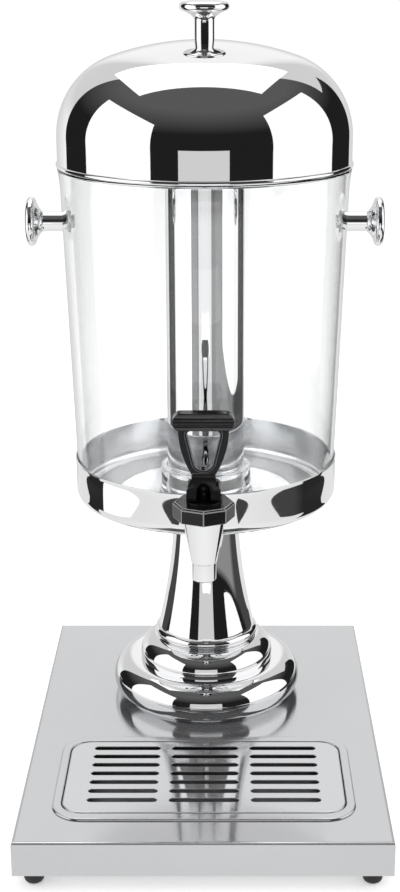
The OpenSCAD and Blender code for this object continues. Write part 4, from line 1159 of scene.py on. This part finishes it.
@dataclass
class Tap:
    """Tap with its spout, bonnet, valve stem, spring and lever."""

    y: float = -70.3
    tip_z: float = 184.7
    tip_r: float = 9.2
    tip_step: float = 0.5
    tip_edge: float = 0.8
    cone_z: float = 198.2
    cone_r: float = 15.4
    cone_edge: float = 0.5
    cone_gap: float = 0.6
    bonnet_z: float = 231.7
    neck_r: float = 15.4
    neck_top: float = 238.7
    chamber_r: float = 9.2
    seat_z: float = 215.7
    outlet_r: float = 5.4
    shank_r: float = 8.0
    shank_root: float = 1.0
    shank_bore: float = 5.0
    shank_tail: float = -21.87
    flow_root: float = 0.5
    shoulder_r: float = 11.5
    shoulder_edge: float = 0.8
    shoulder_y: Point = (-44.9, -41.9)
    bonnet_r: float = 22.0
    bonnet_h: float = 11.3
    bonnet_chamfer: float = 1.4
    bonnet_angle: float = 20.0
    crown_r: float = 12.6
    crown_h: float = 1.7
    crown_low: float = 3.0
    crown_edge: float = 0.7
    recess_h: float = 7.3
    stem_r: float = 3.0
    stem_low: float = 218.5
    flange_z: float = 221.0
    flange_t: float = 1.8
    flange_r: float = 6.6
    ball_r: float = 4.6
    pin_z: float = 253.7
    pin_hole_r: float = 1.65
    pin_fit: float = 0.03
    fit: float = 0.08
    spring_r: float = 5.0
    spring_wire: float = 1.1
    spring_turns: int = 5
    spring_z: float = 223.1
    spring_top: float = 238.7
    valve_lift: float = 5.0
    swing: float = 55.0
    heel: float = 8.7
    heel_past: float = 1.0
    fork_w: float = 24.0
    fork_slot: float = 10.0
    fork_back: float = 8.0
    slot_end: float = 4.9
    neck_z: float = 8.0
    neck_w: float = 17.0
    neck_h: float = 2.0
    nose: float = 4.0
    lever_t: float = 7.0
    lever_angle: float = 38.0
    frame_w: float = 35.5
    rim_w: float = 1.8
    rim_h: float = 0.8
    rim_sink: float = 0.4
    ridge_r: float = 0.8
    ridge_end: float = 0.3
    finger_z: float = 13.5
    finger_r: float = 7.0
    finger_w: float = 23.0
    finger_corner: float = 3.0
    grip_z: float = 42.0
    grip_h: float = 12.8
    grip_w: float = 42.5
    grip_t: float = 10.0
    grip_end: float = 5.5
    grip_ribs: int = 3
    # Widths of the rounded edges that carry the painted highlight, on lever and bonnet and on the grip
    highlight_edge: float = 0.5
    grip_highlight_edge: float = 0.3
    # How far cutters go past a face, and half their length where they go right through
    past: float = 2.0
    ball_through: float = 9.0
    through: float = 20.0
    fork_through: float = 40.0

    @property
    def pin(self) -> Point3:
        """Place of the lever's pin, about which the lever is drawn."""
        return 0.0, self.y, self.pin_z

    def build(self) -> None:
        """Builds and dresses all pieces of the tap."""
        self.body()
        self.bonnet()
        self.stem()
        self.spring()
        self.lever()

    def body(self) -> None:
        """Turns spout and shank, joins them and bores them."""
        spout, shank = (0, self.y, 0), (0, 0, SHANK_Z)
        tip, edge, soft = self.tip_r - self.tip_step, self.tip_edge, self.cone_edge
        outer = [(0, self.tip_z), *arc(tip - edge, self.tip_z + edge, edge, -90, 0, 5),
                 (tip, self.cone_z - self.cone_gap), *arc(self.tip_r - soft, self.cone_z, soft, -90, 0, 4),
                 (self.cone_r, self.bonnet_z), (self.neck_r, self.neck_top), (0, self.neck_top)]
        piece = Bench.turn("tap_spout", outer, spout, steps=128)
        (low, high), root, edge = self.shoulder_y, self.y + self.shank_root, self.shoulder_edge
        outer = [(0, root), (self.shank_r, root), (self.shank_r, low),
                 *arc(self.shoulder_r - edge, low + edge, edge, -90, 0, 5), (self.shoulder_r, high),
                 (self.shank_r, high), (self.shank_r, self.shank_tail), (0, self.shank_tail)]
        Bench.combine(piece, Bench.turn("shank", outer, shank, Axis.Y), Cut.MORE)
        bore = [*bar(self.outlet_r, self.tip_z - self.past, self.seat_z)[:3],
                *bar(self.chamber_r, self.seat_z, self.neck_top + self.past)[1:]]
        Bench.combine(piece, Bench.turn("bore", bore, spout))
        flow = bar(self.shank_bore, self.y + self.flow_root, self.shank_tail + self.past)
        Bench.combine(piece, Bench.turn("flow", flow, shank, Axis.Y, steps=64))
        near = 2e-5
        Bench.edit(piece)
        bpy.ops.mesh.remove_doubles(threshold=near)
        Bench.done()
        Bench.smooth(piece)
        dress(piece, Body.VESSEL, "bright_steel", "tap_body")

    def bonnet(self) -> None:
        """Moulds the eight-sided bonnet with its round crown."""
        place, top, soft = (0, self.y, self.bonnet_z), self.bonnet_h + self.crown_h, self.crown_edge
        sides = [(0, 0), (self.bonnet_r, 0), (self.bonnet_r, self.bonnet_h - self.bonnet_chamfer),
                 (self.bonnet_r - self.bonnet_chamfer, self.bonnet_h), (0, self.bonnet_h)]
        piece = Bench.turn("bonnet_moulding", sides, place, steps=8)
        # Its outward edges take the lighter plastic, a painted highlight
        coat(piece, BLACK_PLASTIC, HIGHLIGHT_PLASTIC)
        Bench.paint_edge_highlight(piece, self.highlight_edge, self.bonnet_angle)
        crown = [(0, self.crown_low), (self.crown_r, self.crown_low),
                 *arc(self.crown_r - soft, top - soft, soft, 0, 90, 5), (0, top)]
        Bench.combine(piece, Bench.turn("crown", crown, place), Cut.MORE)
        recess = bar(self.neck_r + self.fit, -self.past, self.recess_h)
        Bench.combine(piece, Bench.turn("recess", recess, place))
        hole = bar(self.stem_r + self.fit, -self.past, top + self.past)
        Bench.combine(piece, Bench.turn("stem_hole", hole, place, steps=48))
        Bench.smooth_edges(piece)
        dress(piece, Body.VESSEL, "black_plastic", "tap_bonnet")

    def stem(self) -> None:
        """Turns the valve stem with its button, flange and ball, and cross-drills the ball."""
        r, flange = self.stem_r, self.flange_z + self.flange_t
        meet = math.degrees(math.acos(r / self.ball_r))
        profile = [(0, self.stem_low), (r, self.stem_low), (r, self.flange_z), (self.flange_r, self.flange_z),
                   (self.flange_r, flange), (r, flange), *arc(0, self.pin_z, self.ball_r, -meet, 90, 24)]
        piece = Bench.turn("valve_stem", profile, (0, self.y, 0), steps=64)
        Bench.drill(piece, self.pin_hole_r, (-self.ball_through, self.ball_through), self.pin, Axis.X)
        Bench.smooth(piece)
        dress(piece, Body.STEM, "black_plastic", "tap_stem")

    def spring(self) -> None:
        """Winds the closing spring, which on the real tap shortens as the stem lifts."""
        wire, length = self.spring_wire / 2, self.spring_top - self.spring_z
        section = [Vector((self.spring_r + x, 0, z)) for x, z in circle(wire, 16, cz=wire)]
        piece = Bench.chain("spring_coil", section)
        Bench.done()
        pitch = (length - self.spring_wire) / self.spring_turns
        Bench.apply(piece, "SCREW", angle=2 * math.pi, screw_offset=pitch * MM, iterations=self.spring_turns,
                    steps=40, render_steps=40, axis="Z", use_merge_vertices=False)
        Bench.edit(piece)
        bpy.ops.transform.translate(value=(0, self.y * MM, self.spring_z * MM))
        bpy.ops.mesh.fill_holes(sides=0)
        Bench.clean()
        Bench.smooth(piece, 60)
        dress(piece, Body.VESSEL, "plain_steel", "tap_spring")
        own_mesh(piece)

    def finger_outline(self, margin: float) -> list[Point]:
        """Outline of the finger opening, a hull of one low circle and two high ones.

        Args:
            margin: Distance that the outline is moved outwards.

        Returns:
            Points in X and Z about the lever's pin.
        """
        low_z, low_r = self.finger_z + self.finger_r, self.finger_r + margin
        high_x, high_z = self.finger_w / 2 - self.finger_corner, self.grip_z - self.finger_corner
        high_r = self.finger_corner + margin
        reach = math.hypot(high_x, high_z - low_z)
        turn = math.degrees(math.atan2(high_z - low_z, high_x) - math.acos((low_r - high_r) / reach))
        return [*arc(high_x, high_z, high_r, turn, 90, 8), *arc(-high_x, high_z, high_r, 90, 180 - turn, 8),
                *arc(0, low_z, low_r, 180 - turn, 360 + turn, 16)]

    def fork(self) -> Piece:
        """Moulds the fork: a cam heel that lifts the stem evenly as the lever tilts.

        Returns:
            The fork, still solid.
        """
        rate = self.valve_lift / math.radians(self.swing)

        def cam(a: float) -> Point:
            """Point of the cam that touches the bonnet at a tilt in radians."""
            reach = self.heel + rate * a
            return -reach * math.sin(a) - rate * math.cos(a), -reach * math.cos(a) + rate * math.sin(a)

        half, neck = self.fork_w / 2, self.neck_w / 2
        curve = [cam(math.radians(self.swing) * i / 20) for i in range(21)]
        tip = (curve[-1][0] + self.nose / 4, curve[-1][1] + self.nose)
        side = [(self.fork_back, self.neck_z), (self.fork_back, -self.heel), *curve, tip,
                (-self.lever_t / 2, self.neck_z)]
        piece = Bench.prism("lever_moulding", side, (-half, half), self.pin, Axis.X)
        right = [(half, -self.heel - self.heel_past), *arc(neck, 0, half - neck, 0, 90, 8),
                 (neck, self.neck_z + self.heel_past)]
        front = Bench.prism("front", mirrored(right), (-self.fork_through, self.fork_through), self.pin, Axis.Y)
        Bench.combine(piece, front, Cut.BOTH)
        return piece

    def grip(self) -> Piece:
        """Moulds the grip bar with its round ribs.

        Returns:
            The bar.
        """
        rib = self.grip_h / (2 * self.grip_ribs)
        mid, back = self.lever_t / 2 - self.grip_t + rib, self.lever_t / 2
        side = [(back, self.grip_z), (back, self.grip_z + self.grip_h)]
        for i in reversed(range(self.grip_ribs)):
            joint = 0 if i == self.grip_ribs - 1 else 1
            side += arc(mid, self.grip_z + rib * (2 * i + 1), rib, 90, 270, 10)[joint:]
        piece = Bench.prism("grip", side, (-self.grip_w / 2, self.grip_w / 2), self.pin, Axis.X)
        ends = [(x, z + self.grip_z + self.grip_h / 2)
                for x, z in rounded_rect(self.grip_w, self.grip_h, self.grip_end, 8)]
        Bench.combine(piece, Bench.prism("ends", ends, (-self.through, self.through), self.pin, Axis.Y), Cut.BOTH)
        return piece

    def lever(self) -> None:
        """Moulds the lever: fork, curved frame with a rimmed finger opening, ridge and grip bar."""
        half, low = self.lever_t / 2, self.neck_z + self.neck_h
        neck, slot, far = self.neck_w / 2, self.fork_slot / 2, self.through
        right = [(neck, self.neck_z - self.neck_h)]
        right += [((self.frame_w - (self.frame_w - self.neck_w) * (1 - t) ** 2) / 2, low + (self.grip_z - low) * t)
                  for t in [i / 16 for i in range(17)]]
        right.append((self.frame_w / 2, self.grip_z + self.grip_h / 2))
        rim, bead = self.finger_outline(self.rim_w), circle(self.ridge_r, 12, -half, low)
        gap = [(slot, -far), *arc(0, 0, slot, 0, 180, 20), (-slot, -far)]
        end = neck - self.ridge_end
        piece = self.fork()
        for name, outline, span, axis, how in (
            ("frame", mirrored(right), (-half, half), Axis.Y, Cut.MORE),
            ("rim", rim, (-half - self.rim_h, half - self.rim_sink), Axis.Y, Cut.MORE),
            ("ridge", bead, (-end, end), Axis.X, Cut.MORE),
            ("gap", gap, (-self.fork_through, self.slot_end), Axis.Y, Cut.LESS),
            ("finger", self.finger_outline(0), (-far, far), Axis.Y, Cut.LESS),
            ("pin_hole", circle(self.pin_hole_r + self.pin_fit, 24), (-far, far), Axis.X, Cut.LESS),
        ):
            Bench.combine(piece, Bench.prism(name, outline, span, self.pin, axis), how)
        grip = self.grip()
        # The outward edges of lever and grip take the lighter plastic, a painted highlight
        for part, width in ((piece, self.highlight_edge), (grip, self.grip_highlight_edge)):
            coat(part, BLACK_PLASTIC, HIGHLIGHT_PLASTIC)
            Bench.paint_edge_highlight(part, width, self.lever_angle, self.pin_z + low - self.highlight_edge)
        Bench.combine(piece, grip, Cut.MORE)
        Bench.smooth_edges(piece)
        dress(piece, Body.LEVER, "black_plastic", "tap_lever")


class Carried:
    """CAD nodes whose shape is right and that keep it."""

    @staticmethod
    def build() -> None:
        """Gives every node the finish of its slot; those that no new piece stands for stay in view."""
        slots = {part["node"]: part["material_slot"] for part in frame["record"]["subparts"]}
        for name, node in frame["nodes"].items():
            node.data.materials.clear()
            coat(node, SLOT_FINISH[slots[name]])
            LOG.info("%s: coated, %s", name, slots[name])


@dataclass(frozen=True)
class Lamp:
    """A soft box of one even brightness, turned by angles in degrees."""

    name: str
    place: Point3
    turn: Point3
    size: Point
    level: float

    def build(self) -> None:
        """Hangs the lamp."""
        Bench.deselect()
        bpy.ops.object.light_add(type="AREA", location=self.place, rotation=[math.radians(a) for a in self.turn])
        lamp = bpy.context.object
        lamp.name = self.name
        lamp.data.shape = "RECTANGLE"
        lamp.data.size, lamp.data.size_y = self.size
        lamp.data.energy = self.level * math.pi * self.size[0] * self.size[1]
        lamp.visible_camera = False


LAMPS = (
    Lamp("lamp_above", (-0.075, 0.505, 1.7), (0, 0, 0), (1.65, 1.29), 1.1),
    Lamp("lamp_left", (-1.3, -0.625, 0.44), (0, -90, 0), (2.08, 1.75), 1.1),
    Lamp("lamp_right", (1.15, -0.175, 0.735), (0, 90, 0), (1.53, 1.35), 1.1),
    Lamp("board_front", (0, -1.2, -0.045), (90, 0, 0), (0.84, 0.91), 0.66),
)


@dataclass
class Studio:
    """Pale table in a white room that is dark behind the camera, with soft boxes and the camera.

    In the room, a rise is the Z and a share the level Y of the direction that a mirror looks in.
    """

    # Floor to the eye, and the table that mirrors see in its place
    floor_size: float = 60.0
    floor_colour: float = 0.9
    floor_glow: float = 0.35
    table_r: float = 0.6
    table_power: float = 6.0
    table_glow: Point = (0.95, 0.82)
    glow_middle: Point3 = (0.0, -0.33, 0.0)
    glow_reach: Point = (0.1, 0.55)
    # Strip of table ahead of the object: its middle, half width and end
    strip: Point3 = (0.03, 0.27, -1.5)
    # Dark gaps beside the object: side, distance from the middle, middle along Y and half length
    gaps: tuple[tuple[float, ...], ...] = ((-1.0, 0.27, 0.265, 0.095), (1.0, 0.27, 0.205, 0.145))
    # White wall behind the object: least shares left and low on the right, levels at its edge and middle
    world_level: float = 0.75
    wall_shares: Point = (0.682, 0.87)
    wall_low: float = 0.42
    wall_levels: Point = (0.98, 0.64)
    wall_fade: Point = (0.05, 0.25)
    side_shade: float = -0.30
    side_shares: Point = (0.955, 0.988)
    side_rise: Point = (0.08, 0.25)
    # Dark room round it, a little brighter high up and on the ground
    dark_level: float = 0.014
    high_glow: float = 0.09
    high_rise: Point = (0.3, 0.75)
    ground_rise: Point = (-0.17, -0.145)
    ground_turn: Point = (-0.1, 0.1)
    ground_levels: Point = (0.26, 0.05)
    near_rise: Point = (-0.335, -0.30)
    near_share: float = 0.16
    # Clear walls past which a mirror sees plain white, and bounces of all light and of mirrors
    clear_walls: float = 5.5
    bounces: int = 32
    mirror_bounces: int = 12
    camera_place: Point3 = (0.0139, -1.1267, 0.6198)
    camera_tilt: float = 72.35
    lens: float = 64.55
    sensor: float = 36.0
    shift_x: float = -0.0265
    clip_end: float = 200.0

    def build(self) -> None:
        """Sets up light, room, floor and camera, with light paths long enough for the clear walls."""
        for lamp in LAMPS:
            lamp.build()
        self.room()
        self.floor()
        self.camera()
        bpy.context.scene.view_settings.view_transform = "Standard"
        paths = bpy.context.scene.cycles
        paths.max_bounces = paths.transmission_bounces = self.bounces
        paths.glossy_bounces = self.mirror_bounces

    @staticmethod
    def rays(wires: Wires) -> tuple[bpy.types.NodeOutputs, Socket, Socket]:
        """Tells apart the rays of light.

        Args:
            wires: Tree to add the nodes to.

        Returns:
            The light path, whether a ray comes from the eye or through a clear wall, and whether from a mirror.
        """
        path = wires.add("LightPath")
        seen = wires.maths("MAXIMUM", path["Is Camera Ray"], path["Is Transmission Ray"])
        return path, seen, wires.maths("GREATER_THAN", path["Glossy Depth"], 0.5)

    def room(self) -> None:
        """Makes the room: white to the eye, an even glow on the object, dark in front in mirrors."""
        world = bpy.data.worlds.new("room")
        bpy.context.scene.world = world
        world.use_nodes = True
        wires = Wires(world.node_tree)
        maths, slide, both = wires.maths, wires.slide, wires.both
        path, seen, mirror = self.rays(wires)
        way = wires.add("SeparateXYZ", {0: wires.add("TexCoord")["Generated"]})
        x, y, z = way["X"], way["Y"], way["Z"]
        level = maths("SQRT", maths("ADD", maths("POWER", x, 2.0), maths("POWER", y, 2.0)))
        share = maths("DIVIDE", y, level)
        low_right = both(maths("GREATER_THAN", x, 0.0), maths("LESS_THAN", z, self.wall_low))
        behind = maths("GREATER_THAN", share, wires.blend(low_right, *self.wall_shares))
        middle = both(slide(share, (self.wall_shares[0], 1.0)), slide(z, self.wall_fade, (1.0, 0.0)))
        sides = both(slide(share, self.side_shares, (1.0, 0.0)), slide(z, self.side_rise))
        wall = maths("MULTIPLY_ADD", sides, self.side_shade, wires.blend(middle, *self.wall_levels))
        ground = both(slide(z, self.ground_rise, (1.0, 0.0)), slide(z, self.near_rise, (self.near_share, 1.0)))
        high = slide(z, self.high_rise, (self.dark_level, self.dark_level + self.high_glow))
        dark = maths("MULTIPLY_ADD", ground, slide(y, self.ground_turn, self.ground_levels), high)
        mirror = both(mirror, maths("LESS_THAN", path["Transmission Depth"], self.clear_walls))
        plain = wires.blend(seen, self.world_level, 1.0)
        strength = wires.blend(mirror, plain, wires.blend(behind, dark, wall))
        wires.given("BACKGROUND", {"Color": WHITE, "Strength": strength})

    def floor(self) -> None:
        """Lays the floor, which mirrors see as a white table."""
        Bench.deselect()
        bpy.ops.mesh.primitive_plane_add(size=self.floor_size)
        plane = Bench.named("floor")
        Bench.edit(plane)
        bpy.ops.mesh.subdivide(number_cuts=3)
        Bench.done()
        material = bpy.data.materials.new("floor")
        material.use_nodes = True
        wires = Wires(material.node_tree)
        maths, both = wires.maths, wires.both
        seen, mirror = self.rays(wires)[1:]
        spot = wires.add("TexCoord")["Object"]
        place = wires.add("SeparateXYZ", {0: spot})
        x, y = place["X"], place["Y"]
        across = maths("POWER", x, self.table_power)
        along = maths("POWER", maths("SUBTRACT", y, AXIS_Y * MM), self.table_power)
        table = maths("LESS_THAN", maths("ADD", across, along), self.table_r ** self.table_power)
        for side, beside, middle, half in self.gaps:
            within = maths("LESS_THAN", maths("MULTIPLY", x, side), beside)
            away = maths("SUBTRACT", 1.0, maths("COMPARE", y, middle, half))
            table = both(table, maths("MAXIMUM", within, away))
        middle, half, end = self.strip
        strip = both(maths("COMPARE", x, middle, half), maths("COMPARE", y, end / 2, -end / 2))
        gone = wires.add("VectorMath", {0: spot, 1: self.glow_middle}, operation="DISTANCE")["Value"]
        glow = wires.add("Emission", {"Strength": wires.slide(gone, self.glow_reach, self.table_glow)})[0]
        clear = wires.add("BsdfTransparent")[0]
        table = wires.add("MixShader", {0: maths("MAXIMUM", table, strip), 1: clear, 2: glow})[0]
        surface = wires.given("BSDF_PRINCIPLED", {
            "Base Color": (*[self.floor_colour] * 3, 1.0), "Roughness": 1.0, "Specular IOR Level": 0.0,
            "Emission Color": WHITE, "Emission Strength": maths("MULTIPLY", seen, self.floor_glow)})[0]
        mix = wires.add("MixShader", {0: mirror, 1: surface, 2: table})[0]
        wires.given("OUTPUT_MATERIAL", {"Surface": mix})
        plane.data.materials.append(material)

    def camera(self) -> None:
        """Sets the camera where the photographer's stood."""
        Bench.deselect()
        bpy.ops.object.camera_add(location=self.camera_place, rotation=(math.radians(self.camera_tilt), 0, 0))
        camera = bpy.context.object
        camera.name = "camera"
        camera.data.lens = self.lens
        camera.data.sensor_width = self.sensor
        camera.data.shift_x = self.shift_x
        camera.data.clip_end = self.clip_end
        camera.data.dof.use_dof = False
        bpy.context.scene.camera = camera


def main() -> None:
    """Builds the scene."""
    logging.basicConfig(level=logging.INFO, format="%(name)s: %(message)s")
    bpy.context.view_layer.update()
    Carried.build()
    base = Base()
    base.build()
    Pedestal(base.top).build()
    Vessel().build()
    Tap().build()
    Studio().build()
    Bench.deselect()


if __name__ == "__main__":
    main()
